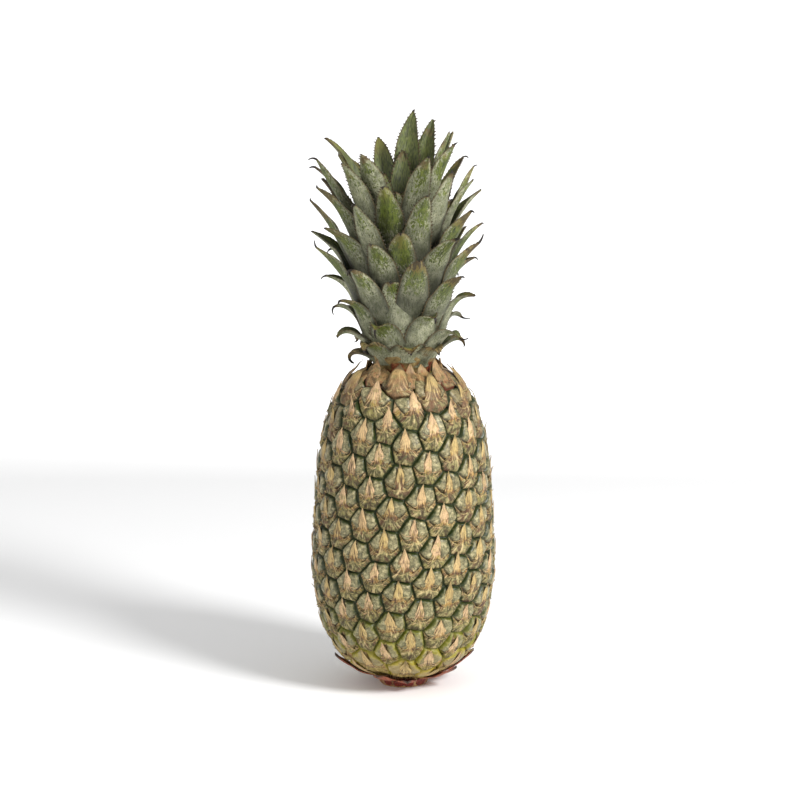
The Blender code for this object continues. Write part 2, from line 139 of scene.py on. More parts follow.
# Scales that hug the stub: (radius, height) up each, then the limits of the top's height and half width
STUB_SCALES, STUB_PHASE = 9, math.radians(-97)
SCALE_PATH, SCALE_TOP_RADIUS = ((0.0150, 0.0008), (0.0159, 0.0030), (0.0166, 0.0055)), 0.0176
SCALE_TOPS, SCALE_HALVES = (0.0068, 0.0086), (0.0030, 0.0046)
SCALE_THICKNESS = 0.0006
# The topmost bracts: lengths on the skin, lifts from it, and the limits of each end's radius and height
NECK_BRACTS, NECK_THICKNESS = 17, 0.0004
NECK_BRACT_LENGTHS, NECK_BRACT_HALVES = (0.010, 0.016), (0.0055, 0.0080)
NECK_BRACT_LIFTS = (0.0001, 0.0008, 0.0011, 0.0006)
NECK_END_RADII, NECK_END_HEIGHTS = (0.0218, 0.0232), (0.2010, 0.2060)
# Both kinds' shares along and across, and the stretch of a bract's paper that they show
FLAP_TAPER = ((0, 0.25, 0.5, 0.75, 0.9, 1), (0.85, 1.0, 0.92, 0.6, 0.3, 0.02))
FLAP_ROWS, FLAP_COLUMNS = 10, 7
FLAP_PAPER = (-3.0, 8.0)

# The crown
CROWN_LEAVES = 76
CROWN_PHASE = math.radians(172.9)
CROWN_LEAN, LEAN_FROM = -0.050, 0.2160
CROWN_SLANT = 0.34
SLANT_FROM, SLANT_TO = 0.250, 0.350
LEAF_THICKNESS = 0.0016
CHANNEL = 0.36
CHANNEL_FROM, CHANNEL_TO = 0.35, 0.75
LEAF_TAPER = 0.62
ROOT_DEPTH = 0.003
SPINE_HANDLE = 0.42
AZIMUTH_VARIES = math.radians(3)
# Leaves that were pushed aside as they grew, by leaf number: degrees turned, and rise of the tip
LEAF_SHIFTS = {
    55: (0, -0.006),
    57: (9, 0.0),
    59: (0, -0.009),
    60: (21, 0.0),
    61: (16, 0.0),
    63: (0, -0.010),
    65: (-42, 0.0),
    66: (-9, 0.0),
    68: (15, -0.012),
    69: (50, 0.0),
}
RADIUS_VARIES = 0.07
HEIGHT_VARIES = 0.004
SLOPE_VARIES = 15
CORE_PROFILE = (
    (0.0000, 0.0185),
    (0.0060, 0.0195),
    (0.0110, 0.0225),
    (0.0180, 0.0250),
    (0.0300, 0.0245),
    (0.0550, 0.0195),
    (0.0800, 0.0130),
    (0.0980, 0.0075),
    (0.1080, 0.0020),
)
# By leaf number: number, root height, tip radius, tip height, first slope, last slope, width, taper
CROWN_RULE = (
    (0, 0.2010, 0.0330, 0.2080, 74, -85, 0.0260, 1.0),
    (5, 0.2045, 0.0360, 0.2140, 74, -75, 0.0280, 1.0),
    (9, 0.2075, 0.0400, 0.2240, 72, -45, 0.0280, 1.2),
    (14, 0.2115, 0.0425, 0.2380, 69, -5, 0.0240, 1.6),
    (19, 0.2170, 0.0460, 0.2540, 67, 20, 0.0222, 2.2),
    (27, 0.2250, 0.0510, 0.2730, 65, 34, 0.0212, 2.8),
    (40, 0.2370, 0.0535, 0.2960, 64, 40, 0.0204, 3.0),
    (53, 0.2500, 0.0510, 0.3230, 66, 46, 0.0204, 3.0),
    (64, 0.2640, 0.0440, 0.3420, 71, 56, 0.0210, 3.0),
    (69, 0.2720, 0.0330, 0.3420, 78, 66, 0.0200, 3.0),
    (71, 0.2780, 0.0180, 0.3180, 86, 78, 0.0150, 3.0),
    (75, 0.2900, 0.0050, 0.3100, 90, 88, 0.0110, 3.0),
)
# The visible stem is this much thinner than the solid bundle of leaf bases
STEM_INSET, STEM_TIP, STEM_SIDES = 0.0022, 0.0005, 48
LEAF_STATIONS = 34
LEAF_COLUMNS = 9
DRY_STATIONS = 7
SPINE_PITCH = 0.0024
SPINE_LENGTH, SPINE_WIDTH = 0.0016, 0.0017
# Teeth run between these shares of the blade, where it is wide enough, and lean forward by the last value
SPINES_FROM, SPINES_TO = 0.28, 0.985
NARROWEST_TOOTHED = 0.0015
SPINE_FOOT, SPINE_HALF, SPINE_HOOK = 0.0005, 0.00025, 1.15
# The dry thread that a withered tip ends in, and the leaf from which they are young and short
HEART_LEAF = 66
THREAD, HEART_THREAD = 0.0010, 0.0004
THREAD_LENGTHS, HEART_THREAD_LENGTH = (0.0008, 0.0015, 0.0030, 0.0045, 0.0065), 0.0006
THREAD_CURLS = (0.6, 2.2)

# The studio: rings of the floor by height and radius, and lamps by name, place, aim, size and power
FLOOR_RINGS = ((0.0, 0.5), (0.0, 1.6), (0.02, 2.4), (0.25, 3.0), (0.9, 3.4), (2.0, 3.6))
FLOOR_SIDES = 96
FRUIT_MIDDLE, WALL_MIDDLE = (0.0, 0.0, 0.16), (0.0, 3.3, 0.8)
LAMPS = (
    ("key", (1.15, -1.05, 1.25), FRUIT_MIDDLE, 0.55, 42.0),
    ("fill", (-1.4, -1.2, 0.7), FRUIT_MIDDLE, 1.2, 5.0),
    ("backdrop", (0.0, 1.2, 1.5), WALL_MIDDLE, 1.5, 40.0),
)
SURROUND = 0.66
CAMERA_AIM = (-0.0022, 0.0, 0.1795)
CAMERA_RISE, CAMERA_DISTANCE = math.radians(8), 1.17
CAMERA_LENS, CAMERA_SENSOR = 85.0, 36.0
# A surface's own colour as a share of what it looks like under the lights: red, green and blue
LIT = (0.76, 0.72, 0.50)


def mix(low, high, share):
    return low + (high - low) * share


def step(low, high, value):
    """0 below low, 1 above high and smooth between. low may be the larger."""
    share = np.clip((value - low) / (high - low), 0.0, 1.0)
    return share * share * (3 - 2 * share)


def colour(red, green, blue):
    """The colour of a surface that looks like this, in screen values, where the lights reach it."""
    linear = [((c / 255 + 0.055) / 1.055) ** 2.4 for c in (red, green, blue)]
    return (*(c * lit for c, lit in zip(linear, LIT)), 1.0)


class Skin:
    """The fruit's skin: a smooth curve through FRUIT_PROFILE, turned about Z and measured along its run."""

    STEPS = 40

    def __init__(self, knots):
        line = self.smooth(np.array(knots))
        steps = np.diff(line, axis=0)
        lengths = np.hypot(steps[:, 0], steps[:, 1])
        middles = (line[1:, 1] + line[:-1, 1]) / 2
        self.height, self.radius = line[:, 0], line[:, 1]
        self.run = np.concatenate([[0], np.cumsum(lengths)])
        self.area = np.concatenate([[0], np.cumsum(2 * math.pi * middles * lengths)])
        self.turn = np.concatenate([[0], np.cumsum(lengths / middles)])

    def smooth(self, knots):
        """A Catmull-Rom curve, with its end knots mirrored to give it end slopes."""
        padded = np.vstack([2 * knots[0] - knots[1], knots, 2 * knots[-1] - knots[-2]])
        line = []
        for a, b, c, d in zip(padded, padded[1:], padded[2:], padded[3:]):
            for t in np.linspace(0, 1, self.STEPS, endpoint=False):
                bend = 2 * b + (c - a) * t + (2 * a - 5 * b + 4 * c - d) * t**2
                line.append((bend + (3 * b - a - 3 * c + d) * t**3) / 2)
        return np.array([*line, knots[-1]])

    def at(self, angle, run, lift):
        """Points at angles about Z and runs up the skin, lifted along its normal. Takes arrays."""
        inside = np.clip(run, 0.0, self.run[-1])
        out, up = self.normal(inside)
        radius = np.interp(inside, self.run, self.radius) + out * lift - up * (run - inside)
        height = np.interp(inside, self.run, self.height) + up * lift + out * (run - inside)
        return np.stack([radius * np.cos(angle), radius * np.sin(angle), height], axis=-1)

    def normal(self, run):
        """(outward, upward) parts of the skin's unit normal."""
        reach = 0.0015
        low, high = np.maximum(run - reach, 0.0), np.minimum(run + reach, self.run[-1])
        rise = np.interp(high, self.run, self.height) - np.interp(low, self.run, self.height)
        spread = np.interp(high, self.run, self.radius) - np.interp(low, self.run, self.radius)
        length = np.hypot(rise, spread)
        return rise / length, -spread / length

    def width(self, run):
        return np.interp(run, self.run, self.radius)


def eye_places(skin):
    """(angle, run, turn, is real) of each eye, in growing order, with ghost eyes past both ends."""
    count = int(skin.area[-1] / EYE_AREA - EYE_START) + 1
    middles = (np.arange(count) + EYE_START) * EYE_AREA
    runs = np.interp(middles, skin.area, skin.run)
    turns = np.interp(middles, skin.area, skin.turn)
    first_step = EYE_AREA / (2 * math.pi * skin.radius[0] ** 2)
    last_step = EYE_AREA / (2 * math.pi * skin.radius[-1] ** 2)
    places = []
    for index in range(-GHOST_EYES, count + GHOST_EYES):
        angle = EYE_PHASE + index * EYE_ANGLE
        if index < 0:
            places.append((angle, 0.0, turns[0] + index * first_step, False))
        elif index >= count:
            past = index - count + 1
            places.append((angle, skin.run[-1], turns[-1] + past * last_step, False))
        else:
            real = FOOT_MARGIN < runs[index] < skin.run[-1] - NECK_MARGIN
            places.append((angle, runs[index], turns[index], real))
    return places


def eye_cells(skin):
    """The eyes with their cells, [(angle, run, [corner, ...])], and the corners, [(angle, run)]."""
    full = 2 * math.pi
    places = eye_places(skin)
    flat, owners = [], []
    for shift in (-full, 0.0, full):
        for index, (angle, _, turn, _) in enumerate(places):
            flat.append(Vector((angle % full + shift, turn)))
            owners.append(index)
    points, _, triangles, originals, _, _ = delaunay_2d_cdt(flat, [], [], 0, 1e-9, True)
    corners, found, rings = [], {}, {}
    for triangle in triangles:
        trio = [owners[originals[corner][0]] for corner in triangle]
        middle = sum((points[corner] for corner in triangle), Vector((0.0, 0.0))) / 3
        # The same corner turns up round each of its three eyes
        key = tuple(sorted(trio))
        for corner, eye in zip(triangle, trio):
            if not places[eye][3] or not 0 <= points[corner].x < full:
                continue
            if key not in found:
                found[key] = len(corners)
                run = float(np.interp(middle.y, skin.turn, skin.run))
                if not all(places[other][3] for other in trio):
                    run = 0.0 if middle.y < skin.turn[-1] / 2 else float(skin.run[-1])
                corners.append((middle.x % full, run))
            offset = middle - points[corner]
            rings.setdefault(eye, {})[found[key]] = math.atan2(offset.y, offset.x)
    eyes = []
    for eye, ring in sorted(rings.items()):
        angle, run = places[eye][:2]
        eyes.append((angle, run, sorted(ring, key=ring.get)))
    return eyes, corners


def ends_fade(skin, run):
    """0 at both ends of the skin, where the stalk and the crown sit, and 1 further than 20 mm from them."""
    return step(0.0, 0.02, run) * step(skin.run[-1], skin.run[-1] - 0.02, run)


def warped(skin, angle, run, lift):
    """Points on the skin, shifted along it by smooth noise, which makes the eyes uneven."""
    angle, run, lift = np.broadcast_arrays(angle, run, lift)
    flat = skin.at(angle, run, np.zeros_like(run)).reshape(-1, 3)
    shift = [
        WARP * noise.noise_vector(spot / WARP_SIZE) + RUFFLE * noise.noise_vector(spot / RUFFLE_SIZE)
        for spot in map(Vector, flat.tolist())
    ]
    shift = np.array(shift).reshape(*run.shape, 3) * ends_fade(skin, run)[..., None]
    return skin.at(angle + shift[..., 0] / skin.width(run), run + shift[..., 1], lift)


def around(angle, middle):
    """The angle measured from middle, between -pi and pi."""
    return (angle - middle + math.pi) % (2 * math.pi) - math.pi


def bumps(places, scale, seed):
    """Smooth noise between -1 and 1 at places (n, 2), with the seed as a third coordinate."""
    return np.array([noise.noise((x * scale, y * scale, seed)) for x, y in places])


def bumps_across(columns, along, seed):
    """The same for one row of places that are all as far along."""
    return np.array([noise.noise((x, along, seed)) for x in columns])


def compass(azimuth):
    """Level unit vectors: outward at the azimuth, and a quarter turn on from it."""
    cosine, sine = math.cos(azimuth), math.sin(azimuth)
    return np.array([cosine, sine, 0.0]), np.array([-sine, cosine, 0.0])


class Eye:
    """One eye: its place on the skin, its size, and how far it is from the crown and the stalk."""

    def __init__(self, skin, angle, run, ring, corners):
        self.skin, self.angle, self.run, self.ring = skin, angle, run, ring
        width = skin.width(run)
        self.border = np.array(
            [(around(corners[k][0], angle) * width, corners[k][1] - run) for k in ring]
        ) / MM
        reach = np.hypot(self.border[:, 0], self.border[:, 1]).mean() * MM
        self.size = min(LARGEST_EYE, reach / EYE_RADIUS)
        self.neck = max(0.0, 1 - (skin.run[-1] - run) / NECK_LENGTH)
        self.relief = mix(FOOT_RELIEF, 1.0, min(1.0, run / FOOT_LENGTH))
        # The first three draws are those of the solid's bract tip
        self.rng = random.Random(round(run * 1e6))
        tip_up = mix(TIP_UP, NECK_TIP_UP, self.neck) + self.rng.uniform(-TIP_VARIES, TIP_VARIES)
        tip_lift = (TIP_LIFT + self.rng.uniform(-TIP_VARIES, TIP_VARIES) / 2) * self.relief
        sway = self.rng.uniform(-TIP_SWAY, TIP_SWAY)
        self.tip = np.array([sway, tip_up, tip_lift]) / MM
        self.seed = self.rng.uniform(0, 100)
        self.kind = (self.rng.random(), self.neck, run / skin.run[-1])
        self.lean, self.drop, self.pitted = (
            self.rng.uniform(*limits) for limits in (EYE_LEANS, EYE_DROPS, EYE_PITS)
        )

    def place(self, across, up, lift):
        """Points of the bract, in eye millimetres, as points in space."""
        p, q = across * self.size * MM, up * self.size * MM
        return warped(self.skin, self.angle + p / self.skin.width(self.run + q), self.run + q, lift * MM)

    def form(self, spots):
        """Lift in mm at spots (n, 2) in mm from the eye's middle, and (groove, sepal) distances with the
        mask of the pit's painted shade.
        """
        following = np.roll(self.border, -1, axis=0)
        along = following - self.border
        outward = np.stack([along[:, 1], -along[:, 0]], axis=1)
        outward /= np.linalg.norm(outward, axis=1, keepdims=True)
        inside = np.maximum(((self.border[None] - spots[:, None]) * outward[None]).sum(axis=2), 0.0)
        facing = (outward[:, 1] + 1) / 2
        rises = 1 - (1 - np.clip(inside / mix(LOWER_SHOULDER, UPPER_SHOULDER, facing), 1e-3, 1)) ** 2.2
        rise = np.minimum((rises**-8.0).sum(axis=1) ** -0.125 * len(along) ** 0.125, 1.0)
        groove = (inside / mix(0.35, 1.15, facing)).min(axis=1)

        x, y = spots[:, 0] / self.size, spots[:, 1] / self.size
        fleshy = 1 - self.neck
        side = np.abs(x - self.lean)
        above = y - CREASE_LOW - self.drop - CREASE_BEND * (side - CREASE_AT) ** 2
        beside = side - CLEFT_WIDTH
        sepal = np.minimum(above, beside) - 0.35 * np.exp(-np.abs(above - beside) / 0.7)
        dome = 1 - (1 - np.clip(sepal / SEPAL_ROUND, 0, 1)) ** 2.5
        base = 1 - np.hypot((x - BASE_AT[0]) / BASE_SIZE[0], (y - BASE_AT[1]) / BASE_SIZE[1])
        swell = 1 - (1 - np.clip(base, 0, 1)) ** 2
        crease = np.exp(-(((sepal + 0.15) / 0.75) ** 2)) * step(4.0, -1.0, y)
        dimple = np.exp(-(((side - 2.6) / 1.2) ** 2) - ((above - 1.3) / 1.2) ** 2)

        outside = step(0.5, -0.3, sepal)
        lift = 0.35 - 0.004 * (x * x + y * y)
        lift += SEPAL_LIFT * fleshy * dome + BASE_LIFT * swell * outside
        lift -= (CREASE_DEPTH * crease + PIT_DEPTH * self.pitted * dimple) * fleshy
        wrinkles = bumps(np.stack([x * 1.5, y * 0.7], axis=1), 1.0, self.seed)
        fine = bumps(np.stack([x, y], axis=1), 1.9, self.seed + 50)
        lift += mix(*WRINKLES, outside) * wrinkles + mix(*GRAIN, outside) * fine
        run = self.run + spots[:, 1] * MM
        depth = GROOVE_DEPTH / MM * mix(1.0, GROOVE_SHARE, ends_fade(self.skin, run))
        lift = lift * self.relief * rise - depth * (1 - rise)
        # The mask of the shade that the finish paints in each sepal's pit
        pit_shade = np.clip(self.pitted, 0, 1) * dimple
        return lift, np.stack([groove, np.where(fleshy > 0.3, sepal, -2.0), pit_shade], axis=1)


def add_values(mesh, domain, values):
    for name, rows in values.items():
        layer = mesh.attributes.new(name, "FLOAT_VECTOR", domain)
        layer.data.foreach_set("vector", np.asarray(rows, dtype=np.float32).ravel())


def piece(name, points, faces, finish, domain="POINT", sharp=None, **values):
    """A smooth mesh with named values for its material, one row a point or a face corner."""
    mesh = bpy.data.meshes.new(name)
    mesh.from_pydata(np.asarray(points).tolist(), [], [tuple(face) for face in faces])
    mesh.shade_smooth()
    if sharp:
        mesh.set_sharp_from_angle(angle=math.radians(sharp))
    mesh.materials.append(finish)
    add_values(mesh, domain, values)
    made = bpy.data.objects.new(name, mesh)
    bpy.context.scene.collection.objects.link(made)
    return made


def strip_faces(rows, columns, base=0, closed=True):
    """Triangles along a tube of rows of points, each row running round the section."""
    faces = []
    for row in range(rows - 1):
        for k in range(columns if closed else columns - 1):
            a, b = base + row * columns + k, base + row * columns + (k + 1) % columns
            faces.append((a, b, b + columns))
            faces.append((a, b + columns, a + columns))
    return faces


def closed_blade(rows, columns, base):
    """Faces of a blade whose rows hold its upper points and then its lower ones the other way."""
    faces = strip_faces(rows, 2 * columns, base)
    for end, flip in ((base, False), (base + (rows - 1) * 2 * columns, True)):
        for k in range(columns - 1):
            near, far = end + k, end + 2 * columns - 1 - k
            pair = [(near, far, far - 1), (near, far - 1, near + 1)]
            faces += [face[::-1] for face in pair] if flip else pair
    return [face[::-1] for face in faces]


def build_eyes(skin, eyes, finish):
    """The rind: a fine polar grid over each eye's cell, sharing its edge points with its neighbours."""
    points, faces, values = [], [], {"eye_shape": [], "eye_place": [], "eye_kind": []}
    shared = {}
    for eye in eyes:
        edge, keys = [], []
        count = len(eye.ring)
        for k in range(count):
            here, there = eye.ring[k], eye.ring[(k + 1) % count]
            for number in range(EDGE_STEPS):
                t = number / EDGE_STEPS
                edge.append(mix(eye.border[k], eye.border[(k + 1) % count], t))
                if number == 0:
                    keys.append((here,))
                else:
                    low_first = here < there
                    spot = number if low_first else EDGE_STEPS - number
                    keys.append((min(here, there), max(here, there), spot))
        edge = np.array(edge)
        columns = len(edge)
        spots = np.vstack([edge * share for share in RINGS] + [np.zeros((1, 2))])
        lift, shape = eye.form(spots)
        angle = eye.angle + spots[:, 0] * MM / skin.width(eye.run)
        where = warped(skin, angle, eye.run + spots[:, 1] * MM, lift * MM)
        ids = []
        for k, key in enumerate(keys):
            if key not in shared:
                shared[key] = len(points)
                points.append(where[k])
            ids.append(shared[key])
        ids += range(len(points), len(points) + len(where) - columns)
        points.extend(where[columns:])
        rows = []
        for ring in range(len(RINGS) - 1):
            for k in range(columns):
                a, b = ring * columns + k, ring * columns + (k + 1) % columns
                rows += [(a, b, b + columns), (a, b + columns, a + columns)]
        last = (len(RINGS) - 1) * columns
        rows += [(last + k, last + (k + 1) % columns, last + columns) for k in range(columns)]
        rows = np.array(rows)
        faces.append(np.array(ids)[rows])
        place = np.column_stack([spots / eye.size, np.full(len(spots), eye.seed)])
        kind = np.tile(eye.kind, (len(spots), 1))
        for name, data in zip(values, (shape, place, kind)):
            values[name].append(data[rows.ravel()])
    faces = np.vstack(faces)
    used = {(a, b) for face in faces.tolist() for a, b in zip(face, face[1:] + face[:1])}
    ends = []
    for run in (0.0, float(skin.run[-1])):
        level = skin.at(0.0, run, -GROOVE_DEPTH)[2]
        points.append((0.0, 0.0, level))
        for a, b in sorted(used):
            if (b, a) not in used and abs(points[a][2] - level) < GROOVE_DEPTH:
                ends.append((b, a, len(points) - 1))
    faces = np.vstack([faces, ends])
    for name in values:
        values[name] = np.vstack([*values[name], np.zeros((3 * len(ends), 3))])
    return piece("fruit_rind", points, faces, finish, domain="CORNER", **values)


def build_tips(eyes, finish):
    """The papery bract tips, one thin keeled blade over the middle of each eye."""
    points, faces, values = [], [], {"eye_place": [], "eye_kind": []}
    stations = np.array(TIP_STATIONS)
    columns = np.linspace(-1, 1, TIP_COLUMNS)
    section = 2 * TIP_COLUMNS - 2
    for eye in eyes:
        rng = eye.rng
        widths = mix(np.array(TIP_WIDTHS), np.array(NECK_TIP_WIDTHS), eye.neck**0.5)
        widths = widths * rng.uniform(*TIP_WIDTH_VARIES)
        top = eye.tip[1] + rng.uniform(SHORTEST_END, LONGEST_END) * (1 - eye.neck)
        reach = mix(TIP_ROOT, top, stations)
        lifts = np.array(TIP_LIFTS) * eye.relief
        lifts[-2:] = eye.tip[2] + rng.choice(END_LIFTS) * np.array([0.5, 1.0])
        sway = eye.tip[0] * stations**1.5 + rng.uniform(-TIP_SNAKES, TIP_SNAKES) * np.sin(stations * 5)
        curl = rng.uniform(*TIP_CURLS)
        skew = rng.uniform(-TIP_SKEW, TIP_SKEW)
        # Near the crown the tips stay where the solid's are
        end = eye.place(eye.tip[0], top, eye.tip[2])
        goal = np.array([end[0], end[1], min(end[2] + eye.neck * NECK_RISE, NECK_TIP_CEILING)])
        goal[:2] *= max(1.0, NECK_TIP_RADIUS / math.hypot(end[0], end[1]))
        pull = (goal - end)[None] * (stations**2)[:, None]
        first = len(points)
        for row, t in enumerate(stations):
            width = widths[row]
            ragged = bumps_across(np.sign(columns) * 3, t * 8, eye.seed + 9)
            ruffle = bumps_across(columns * 2, t * 6, eye.seed)
            arch = 0.16 * width * (curl * t * 2 - 1) * columns**2 + skew * width * columns * t
            rise = lifts[row] + arch + 0.22 * ruffle * min(1.0, width)
            across = sway[row] + columns * width * (1 + 0.22 * ragged)
            # The lower face shares the upper one's edge points
            back = slice(TIP_COLUMNS - 2, 0, -1)
            upper = eye.place(across, reach[row], rise) + pull[row]
            lower = eye.place(across[back], reach[row], rise[back] - TIP_THICKNESS) + pull[row]
            points.extend([*upper, *lower])
            spots = np.concatenate([across, across[back]])
            values["eye_place"] += [(x, reach[row], eye.seed) for x in spots]
            values["eye_kind"] += [eye.kind] * section
        tail = first + (len(stations) - 1) * section
        faces += strip_faces(len(stations), section, first)
        faces += [tuple(range(first + section - 1, first - 1, -1)), tuple(range(tail, tail + section))]
    return piece("fruit_bract_tips", points, faces, finish, **values)


def build_fibres(eyes, finish):
    """Loose dry fibres that spread sideways from each bract, round the feet of its sepals."""
    points, faces, values = [], [], {"eye_place": [], "eye_kind": []}
    stations = np.linspace(0, 1, FIBRE_STATIONS)
    for eye in eyes:
        rng = random.Random(round(eye.seed * 1e6))
        for number in range(EYE_FIBRES):
            side = 1 if number % 2 else -1
            x0, x1 = rng.uniform(*FIBRE_STARTS), rng.uniform(*FIBRE_ENDS)
            y0 = rng.uniform(*FIBRE_LEVELS)
            y1 = y0 + rng.uniform(*FIBRE_DROPS)
            sag = rng.uniform(*FIBRE_SAGS)
            x = side * mix(x0, x1, stations) + eye.lean
            y = mix(y0, y1, stations**1.4) + sag * np.sin(stations * math.pi)
            # A fibre ends before the groove round the eye
            lift, shape = eye.form(np.stack([x, y], axis=1) * eye.size)
            keep = shape[:, 0] > FIBRE_CLEARANCE
            if not keep[:3].all():
                continue
            count = len(keep) if keep.all() else int(np.argmin(keep))
            float_up = rng.uniform(0.0, 1.0) * stations**2
            shade = rng.choice((-3.0, 3.0, 9.0))
            half = rng.uniform(*FIBRE_HALVES) * (1 - 0.9 * np.linspace(0, 1, count) ** 2)
            first = len(points)
            for k in range(count):
                height = lift[k] / eye.relief + 0.12 + float_up[k]
                up = y[k] + np.array([-half[k], 0.0, half[k]])
                rise = eye.relief * (height + np.array([-0.2, half[k], -0.2]))
                corners = eye.place(x[k], up, rise)
                points.extend(corners[::-side])
                values["eye_place"] += [(x[k] * 0.3, shade, eye.seed + number)] * 3
                values["eye_kind"] += [eye.kind] * 3
            faces += strip_faces(count, 3, first)
            faces += [(first + 2, first + 1, first), tuple(first + (count - 1) * 3 + k for k in range(3))]
    return piece("fruit_fibres", points, faces, finish, **values)


def leaf_spine(root, tip, first_slope, last_slope, stations):
    """Arrays of outward, height and slope along a smooth curve from root to tip."""
    reach = math.dist(root, tip) * SPINE_HANDLE
    a, d = np.array(root), np.array(tip)
    b = a + np.array([math.cos(first_slope), math.sin(first_slope)]) * reach
    c = d - np.array([math.cos(last_slope), math.sin(last_slope)]) * reach
    t = np.array(stations)[:, None]
    s = 1 - t
    line = a * s**3 + b * (3 * s * s * t) + c * (3 * s * t * t) + d * t**3
    way = (b - a) * (s * s) + (c - b) * (2 * s * t) + (d - c) * (t * t)
    return line[:, 0], line[:, 1], np.arctan2(way[:, 1], way[:, 0])


class Leaf:
    """One crown leaf, by the same rule and draws as the solid, with its fine spine and widths."""

    def __init__(self, index, seat):
        rng = random.Random(1000 + index)
        rule = np.array(CROWN_RULE)
        root, radius, top, first, last, width, taper = (
            float(np.interp(index, rule[:, 0], rule[:, column])) for column in range(1, 8)
        )
        core = float(np.interp(root - seat, *zip(*CORE_PROFILE)))
        turn = rng.uniform(-AZIMUTH_VARIES, AZIMUTH_VARIES)
        shift, lift = LEAF_SHIFTS.get(index, (0, 0.0))
        self.azimuth = CROWN_PHASE + index * GOLDEN_ANGLE + turn + math.radians(shift)
        radius *= 1 + rng.uniform(-RADIUS_VARIES, RADIUS_VARIES)
        slant = CROWN_SLANT * max(0.0, top - SLANT_FROM) / (SLANT_TO - SLANT_FROM)
        top += rng.uniform(-HEIGHT_VARIES, HEIGHT_VARIES) + lift + slant * radius * math.sin(self.azimuth)
        last += rng.uniform(-SLOPE_VARIES, SLOPE_VARIES)
        t = np.sin(np.linspace(0, math.pi / 2, LEAF_STATIONS)) ** 1.15
        out, height, slope = leaf_spine(
            (core - ROOT_DEPTH, root), (radius, top), math.radians(first), math.radians(last), t
        )
        self.index, self.rng = index, rng
        self.dry = float(np.clip(1 - index / 12, 0, 1))
        self.young = float(np.clip((index - 10) / 22, 0, 1))
        share = np.interp(t, (CHANNEL_FROM, CHANNEL_TO), (0, 1))
        widths = width / 2 * (1 - t**taper) ** LEAF_TAPER
        depths = mix(widths / (2 * out), CHANNEL, share)
        thread = THREAD if index < HEART_LEAF else HEART_THREAD
        widths = np.maximum(widths, thread)
        # The dry thread curls over, or now and then back
        curl = rng.uniform(*THREAD_CURLS) * (1 if rng.random() < 0.85 else -0.6)
        size = rng.choice(THREAD_LENGTHS) if index < HEART_LEAF else HEART_THREAD_LENGTH
        bend = slope[-1] - curl * np.linspace(0, 1, DRY_STATIONS)[1:] ** 0.8
        pace = size / (DRY_STATIONS - 1)
        out = np.concatenate([out, out[-1] + np.cumsum(np.cos(bend)) * pace])
        height = np.concatenate([height, height[-1] + np.cumsum(np.sin(bend)) * pace])
        self.share = np.concatenate([t, 1 + np.linspace(0, 1, DRY_STATIONS)[1:]])
        self.out, self.height, self.slope = out, height, np.concatenate([slope, bend])
        self.widths = np.concatenate([widths, thread * np.linspace(1, 0.25, DRY_STATIONS)[1:]])
        self.depths = np.concatenate([depths, np.full(DRY_STATIONS - 1, CHANNEL)])
        paces = np.hypot(np.diff(out), np.diff(height))
        self.along = np.concatenate([[0], np.cumsum(paces)])

    def sections(self):
        """Arrays of points (row, column, 3) for the upper and lower faces."""
        rng = self.rng
        u = np.linspace(-1, 1, LEAF_COLUMNS)[None]
        phase = rng.uniform(0, 6.3)
        beat = 2 * math.pi / rng.uniform(0.018, 0.032)
        twist = rng.uniform(-0.16, 0.16)
        outward, across = compass(self.azimuth)
        lean = CROWN_LEAN * np.maximum(0.0, self.height - LEAN_FROM)
        middle = self.out[:, None] * outward
        middle[:, 0] += lean
        middle[:, 2] += self.height
        upper = -np.sin(self.slope)[:, None] * outward
        upper[:, 2] += np.cos(self.slope)
        width = self.widths[:, None]
        share = np.minimum(self.share, 1.0)[:, None]
        grown = step(0.25, 0.6, share)
        rise = self.depths[:, None] * width * np.abs(u) ** 1.5
        wave = 0.07 * np.sin(self.along[:, None] * beat + phase + 1.3 * np.sign(u)) * width * u**2
        rise = rise + (wave + twist * width * u * share) * grown
        ripple = np.array([[noise.noise((s * 60, c * 2, self.index)) for c in u[0]] for s in self.along])
        rise = rise + 0.0005 * ripple * grown
        thick = LEAF_THICKNESS * (1 - 0.72 * u**2) * (1 - 0.45 * share)
        thick = np.minimum(thick, 0.9 * width * (1.2 - np.abs(u)))
        top = middle[:, None] + across * (u * width)[..., None] + upper[:, None] * rise[..., None]
        low = top - upper[:, None] * thick[..., None]
        return top, low


def build_leaves(name, leaves, finish):
    points, faces, values = [], [], {"leaf_place": [], "leaf_kind": [], "leaf_edge": []}
    for leaf in leaves:
        top, low = leaf.sections()
        rows, columns = top.shape[:2]
        leaf.edges = (top[:, 0] + low[:, 0]) / 2, (top[:, -1] + low[:, -1]) / 2
        first = len(points)
        loop = np.concatenate([top, low[:, ::-1]], axis=1)
        points.extend(loop.reshape(-1, 3))
        faces += closed_blade(rows, columns, first)
        u = np.linspace(-1, 1, columns)
        mirror = np.concatenate([u, u[::-1]])
        inner = np.concatenate([np.ones(columns), np.zeros(columns)])
        tone = leaf.rng.random()
        for row in range(rows):
            width = leaf.widths[row] / MM
            along = leaf.along[row] / MM
            values["leaf_place"] += [(c * width, along, leaf.index * 7.0) for c in mirror]
            values["leaf_kind"] += [(tone, face, leaf.dry) for face in inner]
            values["leaf_edge"] += [((1 - abs(c)) * width, leaf.share[row], leaf.young) for c in mirror]
    return piece(name, points, faces, finish, sharp=50, **values)


